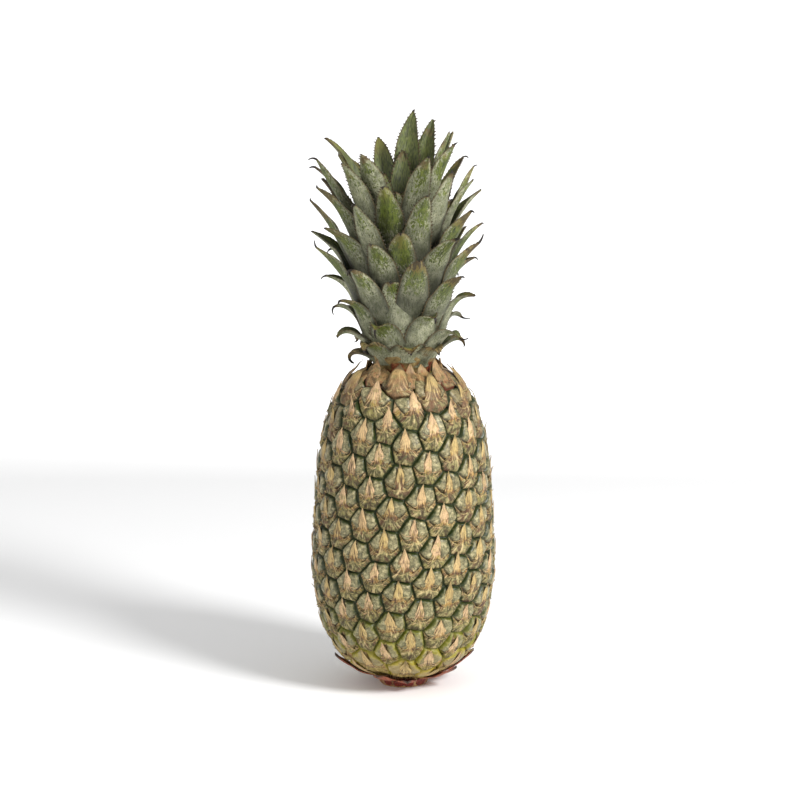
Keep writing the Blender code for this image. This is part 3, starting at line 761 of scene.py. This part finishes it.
def build_spines(leaves, finish):
    """Small hooked teeth along both edges of each leaf, pointing towards its tip."""
    points, faces, values = [], [], {"tooth": []}
    for leaf in leaves:
        rng = random.Random(3000 + leaf.index)
        for side, line in zip((-1, 1), leaf.edges):
            other = leaf.edges[0] if side > 0 else leaf.edges[1]
            paces = np.linalg.norm(np.diff(line, axis=0), axis=1)
            along = np.concatenate([[0], np.cumsum(paces)])
            blade = along[LEAF_STATIONS - 1]
            spot = blade * SPINES_FROM + rng.uniform(0, SPINE_PITCH)
            while spot < blade * SPINES_TO:
                here = np.array([np.interp(spot, along, line[:, k]) for k in range(3)])
                ahead = np.array([np.interp(spot + SPINE_WIDTH, along, line[:, k]) for k in range(3)])
                across = np.array([np.interp(spot, along, other[:, k]) for k in range(3)])
                forward = (ahead - here) / max(np.linalg.norm(ahead - here), 1e-6)
                outward = here - across
                reach = np.linalg.norm(outward)
                if reach < NARROWEST_TOOTHED:
                    break
                outward /= reach
                up = np.cross(forward, outward)
                size = rng.uniform(0.7, 1.15)
                root = here - outward * SPINE_FOOT
                width = SPINE_WIDTH * size
                tip = here + outward * SPINE_LENGTH * size + forward * width * SPINE_HOOK
                first = len(points)
                points += [root - up * SPINE_HALF, root + up * SPINE_HALF, root + forward * width, tip]
                tooth = ((2, 1, 0), (3, 0, 1), (3, 1, 2), (3, 2, 0))
                faces += [tuple(first + k for k in face) for face in tooth]
                values["tooth"] += [(0, 0, 0), (0, 0, 0), (0, 0, 0), (1, 0, 0)]
                spot += SPINE_PITCH * rng.uniform(0.85, 1.2)
    return piece("crown_spines", points, faces, finish, **values)


def rings(profile, base, sides, rough=0.0):
    """Points of the level rings given by (height above base, radius), with a slightly rough radius."""
    points = []
    for height, radius in profile:
        for k in range(sides):
            angle = 2 * math.pi * k / sides
            out = radius + rough * noise.noise((math.cos(angle) * 4, math.sin(angle) * 4, height * 300))
            points.append((out * math.cos(angle), out * math.sin(angle), base + height))
    return points


def turned(name, profile, base, sides, finish, rough=0.0):
    """A closed solid of revolution through these rings, with flat ends."""
    points = rings(profile, base, sides, rough)
    faces = strip_faces(len(profile), sides)
    faces.append(tuple(reversed(range(sides))))
    faces.append(tuple(range(len(points) - sides, len(points))))
    return piece(name, points, faces, finish, sharp=40)


def build_stem(seat, finish):
    profile = [(height, max(radius - STEM_INSET, STEM_TIP)) for height, radius in CORE_PROFILE]
    return turned("crown_stem", profile, seat, STEM_SIDES, finish)


def build_stalk(skin, stub_finish, bract_finish):
    """The cut stub with its bark of bract bases, and the dry bracts under the lowest eyes."""
    profile = (
        (0.0, STALK_RADIUS - STUB_BEVEL),
        (STUB_BEVEL, STALK_RADIUS),
        (0.0030, STALK_RADIUS + STUB_BEVEL),
        (0.0060, STALK_RADIUS + 0.0002),
        (STALK_SEAT, STALK_RADIUS),
    )
    stub = turned("stalk_stub", profile, 0.0, STUB_SIDES, stub_finish, STUB_ROUGHNESS)
    points, faces, values = [], [], {"bract_place": []}
    stations = np.linspace(0, 1, BRACT_STATIONS)
    columns = np.linspace(-1, 1, BRACT_COLUMNS)
    widths = np.interp(stations, *BRACT_TAPER)
    for index in range(BASE_BRACTS):
        rng = random.Random(2000 + index)
        gap = BRACT_GAP + rng.uniform(0.0, BRACT_GAP_VARIES)
        azimuth = GOLDEN_ANGLE * index
        side = abs(math.cos(azimuth))
        reach = mix(SHORTEST_BRACT, LONGEST_BRACT, side) + rng.uniform(-REACH_VARIES, REACH_VARIES)
        outward, across = compass(azimuth)
        first = len(points)
        root = np.array([STALK_RADIUS - BRACT_DEPTH, BRACT_ROOT])
        for row, t in enumerate(stations):
            point = skin.at(0.0, t * reach, gap + BRACT_FLARE * t**3)
            start = step(0.3, 0.0, t)
            out, height = mix(np.array([point[0], point[2]]), root, start)
            ripple = np.array([noise.noise((t * 5, c * 2, index * 9.1)) for c in columns])
            rise = 0.0011 * columns**2 + 0.0009 * ripple * t
            row_points = outward * out + across * (columns * widths[row])[:, None]
            row_points[:, 2] += height + rise
            under = row_points.copy()
            under[:, 2] -= BRACT_THICKNESS
            points.extend([*row_points, *under[::-1]])
            u = np.concatenate([columns, columns[::-1]])
            values["bract_place"] += [(c * widths[row] / MM, t * reach / MM, t) for c in u]
        faces += closed_blade(len(stations), len(columns), first)
    bracts = piece("stalk_bracts", points, faces, bract_finish, sharp=50, **values)
    return stub, bracts


def build_flaps(name, flaps, finish, thickness):
    """Small pointed papery blades, each given as (azimuth, [(outward, height)], half width, seed)."""
    points, faces, values = [], [], {"eye_place": [], "eye_kind": []}
    columns = np.linspace(-1, 1, FLAP_COLUMNS)
    rows = np.linspace(0, 1, FLAP_ROWS)
    for azimuth, path, half, seed in flaps:
        outward, across = compass(azimuth)
        line = np.array(path)
        knots = np.linspace(0, 1, len(line))
        out, height = (np.interp(rows, knots, line[:, k]) for k in range(2))
        widths = half * np.interp(rows, *FLAP_TAPER)
        first = len(points)
        for row, t in enumerate(rows):
            ragged = bumps_across(np.sign(columns) * 3, t * 5, seed)
            ripple = bumps_across(columns * 1.5, t * 3, seed + 5)
            side = columns * widths[row] * (1 + 0.2 * ragged)
            # The blade curves round the shoot
            depth = -(side**2) / (2 * out[row]) + 0.0010 * ripple * t
            upper = (out[row] + depth)[:, None] * outward + side[:, None] * across
            upper[:, 2] += height[row] + 0.0006 * ripple * t
            points.extend([*(upper - outward * thickness), *upper[::-1]])
            spots = np.concatenate([side, side[::-1]]) / MM
            values["eye_place"] += [(x, mix(*FLAP_PAPER, t), seed) for x in spots]
            values["eye_kind"] += [(seed % 1.0, 1.0, 1.0)] * len(spots)
        faces += closed_blade(len(rows), FLAP_COLUMNS, first)
    return piece(name, points, faces, finish, **values)


def neck_flaps(skin):
    """The topmost bracts, which lie on the fruit's shoulder and end at the foot of the crown."""
    flaps = []
    for index in range(NECK_BRACTS):
        rng = random.Random(4000 + index)
        azimuth = GOLDEN_ANGLE * index + rng.uniform(-0.1, 0.1)
        length = rng.uniform(*NECK_BRACT_LENGTHS)
        runs = skin.run[-1] - length * np.array([1.0, 0.66, 0.33, 0.0])
        line = skin.at(0.0, runs, np.array(NECK_BRACT_LIFTS))
        top = (rng.uniform(*NECK_END_RADII), rng.uniform(*NECK_END_HEIGHTS))
        path = [(point[0], point[2]) for point in line] + [top]
        flaps.append((azimuth, path, rng.uniform(*NECK_BRACT_HALVES), rng.uniform(0, 100)))
    return flaps


def stub_flaps():
    """Short scales that hug the cut stub."""
    flaps = []
    for index in range(STUB_SCALES):
        rng = random.Random(5000 + index)
        azimuth = STUB_PHASE + GOLDEN_ANGLE * index
        path = [*SCALE_PATH, (SCALE_TOP_RADIUS, rng.uniform(*SCALE_TOPS))]
        flaps.append((azimuth, path, rng.uniform(*SCALE_HALVES), rng.uniform(0, 100)))
    return flaps


class Tree:
    """Adds nodes to a shader tree. Most methods return the new node's output."""

    def __init__(self, tree):
        self.tree = tree

    def feed(self, socket, value):
        if isinstance(value, bpy.types.NodeSocket):
            self.tree.links.new(value, socket)
        else:
            socket.default_value = value

    def node(self, kind, sockets, **settings):
        made = self.tree.nodes.new(kind)
        for name, value in settings.items():
            setattr(made, name, value)
        for name, value in sockets.items():
            self.feed(made.inputs[name], value)
        return made

    def math(self, operation, *values):
        made = self.node("ShaderNodeMath", dict(enumerate(values)), operation=operation)
        return made.outputs[0]

    def times(self, value, factor, plus=None):
        """value times factor, with plus added to it where that is given."""
        if plus is None:
            return self.math("MULTIPLY", value, factor)
        return self.math("MULTIPLY_ADD", value, factor, plus)

    def mix(self, share, low, high):
        """A colour from low to high. Colours may be given as three screen values."""
        low, high = (colour(*tone) if isinstance(tone, tuple) else tone for tone in (low, high))
        return self.node("ShaderNodeMix", {0: share, 6: low, 7: high}, data_type="RGBA").outputs[2]

    def wash(self, under, over, share, value, low, high):
        """The colour over on the colour under, up to share of it where value has gone from low to high."""
        return self.mix(self.between(value, low, high, 0.0, share), under, over)

    def between(self, value, low, high, to_low=0.0, to_high=1.0):
        """value from low to high, eased, as to_low to to_high."""
        flip = low > high
        sockets = {0: value, 1: min(low, high), 2: max(low, high)}
        sockets.update({3: to_high if flip else to_low, 4: to_low if flip else to_high})
        made = self.node("ShaderNodeMapRange", sockets, interpolation_type="SMOOTHSTEP")
        return made.outputs[0]

    def parts(self, name):
        """The three numbers of a mesh attribute, and the whole vector."""
        vector = self.node("ShaderNodeAttribute", {}, attribute_name=name).outputs["Vector"]
        split = self.node("ShaderNodeSeparateXYZ", {0: vector})
        return (*split.outputs, vector)

    def scaled(self, vector, x, y, z):
        sockets = {0: vector, 1: (x, y, z)}
        return self.node("ShaderNodeVectorMath", sockets, operation="MULTIPLY").outputs[0]

    def noise(self, place, scale, detail=2.0, roughness=0.5):
        sockets = {"Vector": place, "Scale": scale, "Detail": detail, "Roughness": roughness}
        return self.node("ShaderNodeTexNoise", sockets).outputs[0]

    def group(self, name, **sockets):
        made = self.node("ShaderNodeGroup", {}, node_tree=bpy.data.node_groups[name])
        for socket, value in sockets.items():
            self.feed(made.inputs[socket], value)
        return made.outputs


def new_group(name, inputs, outputs):
    """An empty node group with named sockets. Returns its Tree, its inputs and the node for its outputs."""
    made = bpy.data.node_groups.new(name, "ShaderNodeTree")
    for direction, sockets in (("INPUT", inputs), ("OUTPUT", outputs)):
        for socket, kind in sockets.items():
            made.interface.new_socket(socket, in_out=direction, socket_type="NodeSocket" + kind)
    source = made.nodes.new("NodeGroupInput")
    return Tree(made), source.outputs, made.nodes.new("NodeGroupOutput")


def make_groups():
    """Effects that several of the finishes share."""
    tree, given, result = new_group(
        "mottle",
        {"Place": "Vector", "Scale": "Float", "Dark": "Color", "Middle": "Color", "Light": "Color"},
        {"Color": "Color", "Height": "Float"},
    )
    cloud = tree.noise(given["Place"], given["Scale"], 4.0, 0.62)
    low = tree.mix(tree.between(cloud, 0.36, 0.50), given["Dark"], given["Middle"])
    tree.feed(result.inputs["Color"], tree.mix(tree.between(cloud, 0.50, 0.66), low, given["Light"]))
    tree.feed(result.inputs["Height"], cloud)

    tree, given, result = new_group(
        "flecks",
        {"Place": "Vector", "Scale": "Float", "From": "Float", "To": "Float"},
        {"Mask": "Float"},
    )
    spots = tree.noise(given["Place"], given["Scale"], 3.0, 0.7)
    made = tree.node("ShaderNodeMapRange", {0: spots, 1: given["From"], 2: given["To"]})
    tree.feed(result.inputs["Mask"], made.outputs[0])
    make_bract_group()


def make_bract_group():
    """A bract's paper, from its tip down to the base that fans out over the lower part of its eye."""
    tree, given, result = new_group(
        "bract",
        {"Place": "Vector", "Tone": "Float", "Share": "Float", "Neck": "Float"},
        {"Color": "Color", "Height": "Float"},
    )
    place, tone = given["Place"], given["Tone"]
    across, up, seed = tree.node("ShaderNodeSeparateXYZ", {0: place}).outputs
    low = tree.math("MAXIMUM", tree.math("SUBTRACT", 1.0, up), 0.0)
    spread = tree.times(up, -BRACT_GROWTH, BRACT_END + BRACT_GROWTH * BRACT_TOP)
    spread = tree.times(tree.times(low, low), BRACT_SPREAD, spread)
    # Fibres follow the outline: close together at the tip, and fanned out at the base
    lateral = tree.math("DIVIDE", across, tree.math("MAXIMUM", spread, 0.3))
    run = tree.node("ShaderNodeCombineXYZ", {0: lateral, 1: up, 2: seed}).outputs[0]
    fibre = tree.noise(tree.scaled(run, 4.2, 0.13, 1.0), 1.0, 3.0, 0.62)
    hair = tree.noise(tree.scaled(run, 15.0, 0.20, 1.0), 1.0, 2.0, 0.5)
    cloud = tree.noise(place, 0.30, 3.0, 0.6)
    blotch = tree.noise(tree.scaled(place, -1.0, 1.0, 2.0), 0.42, 3.0, 0.62)

    level = tree.times(cloud, 9.0, tree.math("SUBTRACT", up, 9.5))
    level = tree.times(fibre, 10.0, level)
    point = tree.mix(tree.between(tone, 0.35, 0.75), (236, 200, 178), (212, 186, 136))
    rust = tree.mix(tree.between(blotch, 0.42, 0.60), (108, 72, 42), (192, 152, 90))
    foot = tree.mix(tree.between(blotch, 0.40, 0.60), (88, 86, 54), (166, 158, 122))
    green = tree.times(tree.between(given["Share"], 0.30, 0.02), 0.6)
    foot = tree.mix(green, foot, (172, 160, 78))
    paper = tree.mix(tree.between(level, 1.4, -1.6), point, rust)
    paper = tree.mix(tree.between(level, -1.8, -4.0), paper, foot)
    dry = tree.times(tone, 0.22, tree.times(given["Share"], 0.14, cloud))
    dry = tree.times(tree.between(dry, 0.72, 0.82), tree.between(up, 6.0, 1.0))
    paper = tree.mix(tree.times(dry, 0.8), paper, (96, 58, 44))
    olive = tree.times(tree.between(blotch, 0.50, 0.60), tree.between(tone, 0.6, 0.2))
    paper = tree.mix(tree.times(olive, 0.5), paper, (132, 130, 48))
    tan = tree.mix(tree.between(cloud, 0.36, 0.58), (88, 60, 40), (180, 144, 112))
    tan = tree.wash(tan, (120, 120, 88), 0.6, blotch, 0.52, 0.62)
    tan = tree.wash(tan, (134, 66, 46), 0.7, cloud, 0.56, 0.66)
    paper = tree.wash(paper, tan, 0.85, given["Neck"], 0.15, 0.8)
    # Near the crown the paper is flat, with few lines
    plain = tree.between(given["Neck"], 0.9, 0.2, 0.32, 1.0)
    for strands, low, high, most, ink in (
        (fibre, 0.55, 0.66, 0.7, (238, 218, 186)),
        (fibre, 0.46, 0.34, 0.9, (64, 44, 22)),
        (hair, 0.58, 0.66, 0.4, (236, 220, 188)),
        (hair, 0.46, 0.36, 0.7, (66, 48, 24)),
    ):
        lines = tree.times(tree.between(strands, low, high, 0.0, most), plain)
        paper = tree.mix(lines, paper, ink)
    specks = tree.group("flecks", Place=place, Scale=1.9, From=0.60, To=0.66)["Mask"]
    specks = tree.times(specks, tree.between(up, 1.0, -3.0, 0.15, 0.8))
    paper = tree.mix(specks, paper, (56, 48, 24))
    tree.feed(result.inputs["Color"], paper)
    height = tree.times(hair, 0.5, fibre)
    tree.feed(result.inputs["Height"], tree.times(height, plain))


def new_finish(name):
    """A material with an empty tree but for its Principled shader."""
    made = bpy.data.materials.new(name)
    made.use_nodes = True
    shader = made.node_tree.nodes["Principled BSDF"]
    return made, Tree(made.node_tree), shader


def relief(tree, shader, height, distance, strength):
    """Fine relief by a bump of this distance in metres."""
    bump = tree.node("ShaderNodeBump", {"Height": height, "Distance": distance, "Strength": strength})
    tree.feed(shader.inputs["Normal"], bump.outputs[0])


def rind_finish():
    """Grey-green sepals with painted shade round their rims, creases and pits, the bract's fibrous base
    below them, and green grooves round each eye.
    """
    made, tree, shader = new_finish("rind")
    groove, sepal, pit_shade, _ = tree.parts("eye_shape")
    across, up, _, place = tree.parts("eye_place")
    tone, neck, share, _ = tree.parts("eye_kind")
    wobble = tree.math("SUBTRACT", tree.noise(place, 0.55, 4.0, 0.65), 0.5)
    bract = tree.group("bract", Place=place, Tone=tone, Share=share, Neck=neck)

    skin = tree.group(
        "mottle",
        Place=place,
        Scale=0.50,
        Dark=colour(62, 62, 38),
        Middle=colour(126, 122, 94),
        Light=colour(202, 194, 172),
    )
    grain = tree.noise(place, 2.6, 3.0, 0.6)
    lobe = tree.wash(skin["Color"], (206, 198, 180), 0.4, grain, 0.40, 0.62)
    lobe = tree.wash(lobe, (122, 126, 94), 0.35, share, 0.50, 0.08)
    # Painted shade: each sepal darkens round its rim, where it curves down into the crease.
    hollow = tree.times(wobble, 2.2, sepal)
    lobe = tree.wash(lobe, (72, 68, 42), 0.8, hollow, 1.5, 0.4)
    brown = tree.times(tree.between(share, 0.5, 0.95), tree.between(tone, 0.2, 0.9))
    lobe = tree.mix(tree.times(brown, 0.45), lobe, (118, 98, 72))
    dark_spots = tree.group("flecks", Place=place, Scale=1.1, From=0.57, To=0.63)["Mask"]
    lobe = tree.mix(tree.times(dark_spots, 0.75), lobe, (54, 54, 30))
    flakes = tree.group("flecks", Place=tree.scaled(place, -1.0, 1.0, 2.0), Scale=0.9, From=0.61, To=0.69)
    lobe = tree.mix(tree.times(flakes["Mask"], 0.5), lobe, (208, 204, 184))
    # Painted shade: the pit that each sepal dips into is darkened.
    lobe = tree.mix(tree.times(pit_shade, 0.75), lobe, (58, 52, 32))
    # Painted shade: the sepals darken on their inner sides, next to the bract between them.
    inner = tree.times(wobble, 3.0, tree.math("ABSOLUTE", across))
    inner = tree.times(tree.between(inner, 4.6, 2.0), tree.between(up, 6.5, -1.0))
    lobe = tree.mix(tree.times(inner, 0.8), lobe, (70, 64, 38))

    edge = tree.times(wobble, 1.5, sepal)
    margin = tree.times(tree.between(edge, -1.5, -0.8), tree.between(edge, -0.2, -0.6))
    margin = tree.times(margin, tree.between(up, 2.0, -1.0))
    base = tree.mix(tree.times(margin, 0.6), bract["Color"], (216, 198, 158))
    face = tree.mix(tree.between(edge, -0.15, 0.35), base, lobe)
    # Painted shade: a broken dark line in the crease under the sepals.
    crease = tree.times(tree.between(edge, -0.7, -0.1), tree.between(edge, 0.75, 0.15))
    broken = tree.between(tree.noise(place, 0.45, 2.0, 0.5), 0.38, 0.56, 0.2, 0.85)
    face = tree.mix(tree.times(crease, broken), face, (44, 36, 16))

    patch = tree.noise(tree.scaled(place, 1.0, 1.0, 3.0), 0.16, 2.0, 0.5)
    ditch = tree.times(groove, tree.between(patch, 0.4, 0.62, 0.7, 1.7))
    ditch = tree.times(wobble, 3.6, ditch)
    moss = tree.mix(tree.between(share, 0.35, 0.05), (66, 76, 30), (196, 190, 48))
    face = tree.wash(face, moss, 0.6, ditch, 2.3, 1.0)
    deep = tree.mix(tree.between(share, 0.30, 0.03), (36, 52, 8), (150, 154, 24))
    face = tree.wash(face, deep, 0.95, ditch, 1.6, 0.5)
    young = tree.times(tree.between(share, 0.09, 0.03), tree.between(ditch, 0.3, 1.2))
    face = tree.mix(tree.times(young, 0.6), face, (176, 168, 60))
    face = tree.wash(face, (212, 168, 76), 0.32, share, 0.20, 0.03)
    red = tree.times(tree.between(neck, 0.45, 0.85), tree.between(ditch, 3.0, 1.0))
    face = tree.mix(red, face, (118, 54, 38))
    tree.feed(shader.inputs["Base Color"], face)
    tree.feed(shader.inputs["Roughness"], tree.between(edge, -0.3, 0.5, 0.66, 0.38))
    fleshy = tree.between(edge, -0.2, 0.3, 1.0, 0.22)
    height = tree.times(tree.times(grain, 0.6, bract["Height"]), fleshy)
    relief(tree, shader, height, 0.0007, 0.8)
    return made


def tip_finish():
    """The bracts' free tips and fibres: peach and golden paper, with a few dark ends."""
    made, tree, shader = new_finish("bract_tip")
    _, up, _, place = tree.parts("eye_place")
    tone, neck, share, _ = tree.parts("eye_kind")
    paper = tree.group("bract", Place=place, Tone=tone, Share=share, Neck=neck)
    burnt = tree.times(tree.between(up, 7.8, 9.6), tree.between(tone, 0.55, 0.95, 0.0, 0.8))
    tree.feed(shader.inputs["Base Color"], tree.mix(burnt, paper["Color"], (76, 54, 34)))
    shader.inputs["Roughness"].default_value = 0.6
    relief(tree, shader, paper["Height"], 0.0006, 0.8)
    return made


def leaf_finish():
    """A silvery bloom that wears off in flecks towards the green tip outside, and streaked green inside."""
    made, tree, shader = new_finish("leaf")
    place = tree.parts("leaf_place")[3]
    tone, inner, dry, _ = tree.parts("leaf_kind")
    edge, share, young, _ = tree.parts("leaf_edge")
    streak = tree.noise(tree.scaled(place, 1.0, 0.16, 1.0), 1.3, 3.0, 0.6)
    fine = tree.noise(tree.scaled(place, 1.0, 0.06, 1.0), 4.0, 2.0, 0.5)
    cloud = tree.noise(place, 0.16, 3.0, 0.55)
    speckle = tree.noise(tree.scaled(place, 1.0, 0.5, 1.0), 0.95, 4.0, 0.72)

    green = tree.mix(tree.between(streak, 0.36, 0.64), (42, 56, 16), (104, 122, 42))
    green = tree.wash(green, (138, 148, 84), 0.4, fine, 0.42, 0.60)
    bloom = tree.mix(tree.between(cloud, 0.38, 0.62), (122, 128, 112), (186, 190, 182))
    bloom = tree.wash(bloom, (206, 212, 216), 0.45, fine, 0.42, 0.62)
    bloom = tree.wash(bloom, (102, 114, 66), 0.55, streak, 0.54, 0.66)
    bloom = tree.wash(bloom, (78, 80, 60), 0.5, streak, 0.44, 0.34)
    # The bloom is worn along the middle towards the tip, and flecked elsewhere
    zone = tree.times(tone, 0.5, tree.math("SUBTRACT", share, 0.07))
    zone = tree.times(cloud, 0.5, tree.math("SUBTRACT", zone, 0.25))
    zone = tree.times(tree.between(zone, 0.55, 1.25), tree.between(edge, 0.3, 4.5, 0.3, 1.0))
    wear = tree.times(zone, 0.36, speckle)
    worn = tree.between(wear, 0.585, 0.655)
    outer = tree.mix(worn, bloom, green)
    specks = tree.group("flecks", Place=tree.scaled(place, 1.0, 0.6, 1.0), Scale=1.5, From=0.56, To=0.63)
    outer = tree.mix(tree.times(specks["Mask"], 0.8), outer, (40, 44, 22))
    # Leaf bases and margins are in the shade of their neighbours
    deep = tree.times(tree.between(share, 0.76, 0.34), tree.between(young, 0.0, 1.0, 0.15, 0.85))
    outer = tree.mix(deep, outer, (34, 36, 24))
    side = tree.times(tree.between(edge, 3.6, 0.2), tree.between(share, 0.92, 0.55))
    outer = tree.mix(tree.times(side, 0.75), outer, (34, 36, 24))
    hollow = tree.mix(tree.between(streak, 0.36, 0.64), (44, 54, 24), (94, 108, 52))
    hollow = tree.wash(hollow, (138, 144, 104), 0.55, fine, 0.46, 0.62)
    # Painted shade: the inner face darkens towards the leaf's base, deep in the crown.
    hollow = tree.wash(hollow, (24, 28, 14), 0.85, share, 0.85, 0.30)
    sheet = tree.mix(inner, outer, hollow)

    yellow = tree.times(tree.between(share, 0.80, 1.0), tree.between(tone, 0.6, 0.95))
    sheet = tree.mix(tree.times(yellow, 0.45), sheet, (150, 144, 66))
    sheet = tree.wash(sheet, (96, 80, 48), 0.55, edge, 0.7, 0.1)
    husk = tree.mix(tree.between(streak, 0.4, 0.6), (84, 66, 46), (156, 138, 106))
    withered = tree.times(dry, 0.45, tree.times(share, 0.8, cloud))
    sheet = tree.wash(sheet, husk, 0.85, withered, 1.25, 1.5)
    ending = tree.times(tree.math("SUBTRACT", cloud, 0.5), 0.3, share)
    burnt = tree.times(tree.between(tone, 0.45, 0.6), tree.between(tone, 0.85, 0.7))
    torn = tree.times(tree.math("SUBTRACT", streak, 0.5), 0.5, ending)
    rim = tree.times(burnt, tree.between(torn, 0.82, 0.86))
    sheet = tree.mix(tree.times(rim, 0.7), sheet, (132, 112, 62))
    burnt = tree.times(burnt, tree.between(torn, 0.90, 0.93))
    sheet = tree.mix(tree.times(burnt, 0.85), sheet, (58, 46, 30))
    sheet = tree.mix(tree.between(ending, 0.95, 1.02), sheet, (90, 74, 40))
    sheet = tree.mix(tree.between(ending, 1.0, 1.10), sheet, (34, 26, 20))
    tree.feed(shader.inputs["Base Color"], sheet)
    tree.feed(shader.inputs["Roughness"], tree.between(worn, 0.0, 1.0, 0.72, 0.48))
    height = tree.times(streak, 0.6, fine)
    relief(tree, shader, height, 0.0004, 0.5)
    return made


def spine_finish():
    made, tree, shader = new_finish("leaf_spine")
    tooth = tree.parts("tooth")[0]
    tree.feed(shader.inputs["Base Color"], tree.mix(tooth, (88, 72, 40), (38, 26, 18)))
    shader.inputs["Roughness"].default_value = 0.5
    return made


def stem_finish():
    """Pale leaf bases, red where they meet the fruit."""
    made, tree, shader = new_finish("crown_stem")
    place = tree.node("ShaderNodeTexCoord", {}).outputs["Object"]
    height = tree.node("ShaderNodeSeparateXYZ", {0: place}).outputs[2]
    pale = tree.group(
        "mottle",
        Place=place,
        Scale=260.0,
        Dark=colour(96, 76, 48),
        Middle=colour(150, 128, 92),
        Light=colour(186, 164, 126),
    )
    red = tree.group(
        "mottle",
        Place=place,
        Scale=300.0,
        Dark=colour(72, 28, 20),
        Middle=colour(132, 62, 42),
        Light=colour(178, 116, 82),
    )
    patch = tree.noise(place, 90.0, 2.0, 0.5)
    low = tree.times(tree.between(height, 0.2055, 0.2035), tree.between(patch, 0.46, 0.56))
    tree.feed(shader.inputs["Base Color"], tree.mix(low, pale["Color"], red["Color"]))
    shader.inputs["Roughness"].default_value = 0.6
    relief(tree, shader, pale["Height"], 0.0006, 0.8)
    return made


def stub_finish():
    """Dry fibre from red-brown to pinkish tan, the same round the side and on the cut face."""
    made, tree, shader = new_finish("stalk_stub")
    place = tree.node("ShaderNodeTexCoord", {}).outputs["Object"]
    strands = tree.noise(tree.scaled(place, 1.0, 1.0, 0.12), 900.0, 3.0, 0.6)
    side = tree.mix(tree.between(strands, 0.38, 0.6), (112, 58, 42), (206, 168, 134))
    tree.feed(shader.inputs["Base Color"], side)
    shader.inputs["Roughness"].default_value = 0.75
    relief(tree, shader, strands, 0.0006, 0.9)
    return made


def scale_finish():
    """Maroon scales, paler along their fibres."""
    made, tree, shader = new_finish("stalk_scale")
    _, up, _, place = tree.parts("eye_place")
    strands = tree.noise(tree.scaled(place, 1.0, 0.15, 1.0), 2.2, 3.0, 0.6)
    face = tree.mix(tree.between(strands, 0.36, 0.66), (92, 22, 20), (164, 62, 50))
    face = tree.mix(tree.between(up, 5.0, 8.0), face, (188, 132, 100))
    tree.feed(shader.inputs["Base Color"], face)
    shader.inputs["Roughness"].default_value = 0.45
    relief(tree, shader, strands, 0.0004, 0.6)
    return made


def bract_finish():
    """Papery red-brown bracts, darker at the tip."""
    made, tree, shader = new_finish("stalk_bract")
    _, _, along, place = tree.parts("bract_place")
    streak = tree.noise(tree.scaled(place, 1.0, 0.12, 3.0), 1.8, 3.0, 0.6)
    face = tree.mix(tree.between(streak, 0.35, 0.62), (110, 40, 30), (184, 104, 76))
    face = tree.mix(tree.between(along, 0.75, 1.0), face, (62, 44, 38))
    face = tree.wash(face, (196, 150, 118), 0.6, along, 0.35, 0.05)
    tree.feed(shader.inputs["Base Color"], face)
    shader.inputs["Roughness"].default_value = 0.5
    relief(tree, shader, streak, 0.0005, 0.7)
    return made


def studio():
    """A pale floor that rises far off all round, a soft key from the right, and a white surround."""
    points = rings(FLOOR_RINGS, 0.0, FLOOR_SIDES)
    faces = [face[::-1] for face in strip_faces(len(FLOOR_RINGS) - 1, FLOOR_SIDES)]
    faces.append(tuple(range(FLOOR_SIDES)))
    white, _, shader = new_finish("floor")
    shader.inputs["Base Color"].default_value = (0.9, 0.9, 0.9, 1.0)
    shader.inputs["Roughness"].default_value = 0.9
    floor = piece("floor", points, faces, white)

    for name, spot, aim, size, power in LAMPS:
        lamp = bpy.data.lights.new(name, "AREA")
        lamp.shape = "DISK"
        lamp.size, lamp.energy = size, power
        made = bpy.data.objects.new(name, lamp)
        made.location = spot
        made.rotation_euler = (Vector(aim) - Vector(spot)).to_track_quat("-Z", "Y").to_euler()
        bpy.context.scene.collection.objects.link(made)
    world = bpy.data.worlds.new("surround")
    world.use_nodes = True
    background = world.node_tree.nodes["Background"]
    background.inputs["Color"].default_value = (1.0, 1.0, 1.0, 1.0)
    background.inputs["Strength"].default_value = SURROUND
    bpy.context.scene.world = world
    bpy.context.scene.view_settings.view_transform = "Standard"


def camera():
    """The photograph's view: a little above level, from far enough for a slight perspective."""
    lens = bpy.data.cameras.new("camera")
    lens.lens, lens.sensor_width = CAMERA_LENS, CAMERA_SENSOR
    made = bpy.data.objects.new("camera", lens)
    back = Vector((0.0, -math.cos(CAMERA_RISE), math.sin(CAMERA_RISE)))
    made.location = Vector(CAMERA_AIM) + back * CAMERA_DISTANCE
    made.rotation_euler = (-back).to_track_quat("-Z", "Y").to_euler()
    bpy.context.scene.collection.objects.link(made)
    bpy.context.scene.camera = made


def main():
    noise.seed_set(WARP_SEED)
    studio()
    camera()
    make_groups()
    skin = Skin(FRUIT_PROFILE)
    cells, corners = eye_cells(skin)
    eyes = [Eye(skin, angle, run, ring, corners) for angle, run, ring in cells]
    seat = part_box("crown")[0].z
    leaves = [Leaf(index, seat) for index in range(CROWN_LEAVES)]
    leaf, tip = leaf_finish(), tip_finish()
    stub, bracts = build_stalk(skin, stub_finish(), bract_finish())
    for made, node, slot in (
        (build_eyes(skin, eyes, rind_finish()), "fruit", "rind"),
        (build_tips(eyes, tip), "fruit", "rind"),
        (build_fibres(eyes, tip), "fruit", "rind"),
        (build_flaps("neck_bracts", neck_flaps(skin), tip, NECK_THICKNESS), "fruit", "rind"),
        (build_flaps("stalk_scales", stub_flaps(), scale_finish(), SCALE_THICKNESS), "stalk", "stalk"),
        (build_leaves("crown_leaves", leaves, leaf), "crown", "leaf"),
        (build_spines(leaves, spine_finish()), "crown", "leaf"),
        (build_stem(seat, stem_finish()), "crown", "leaf"),
        (stub, "stalk", "stalk"),
        (bracts, "stalk", "stalk"),
    ):
        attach(made, "root")
        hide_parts(node)


main()
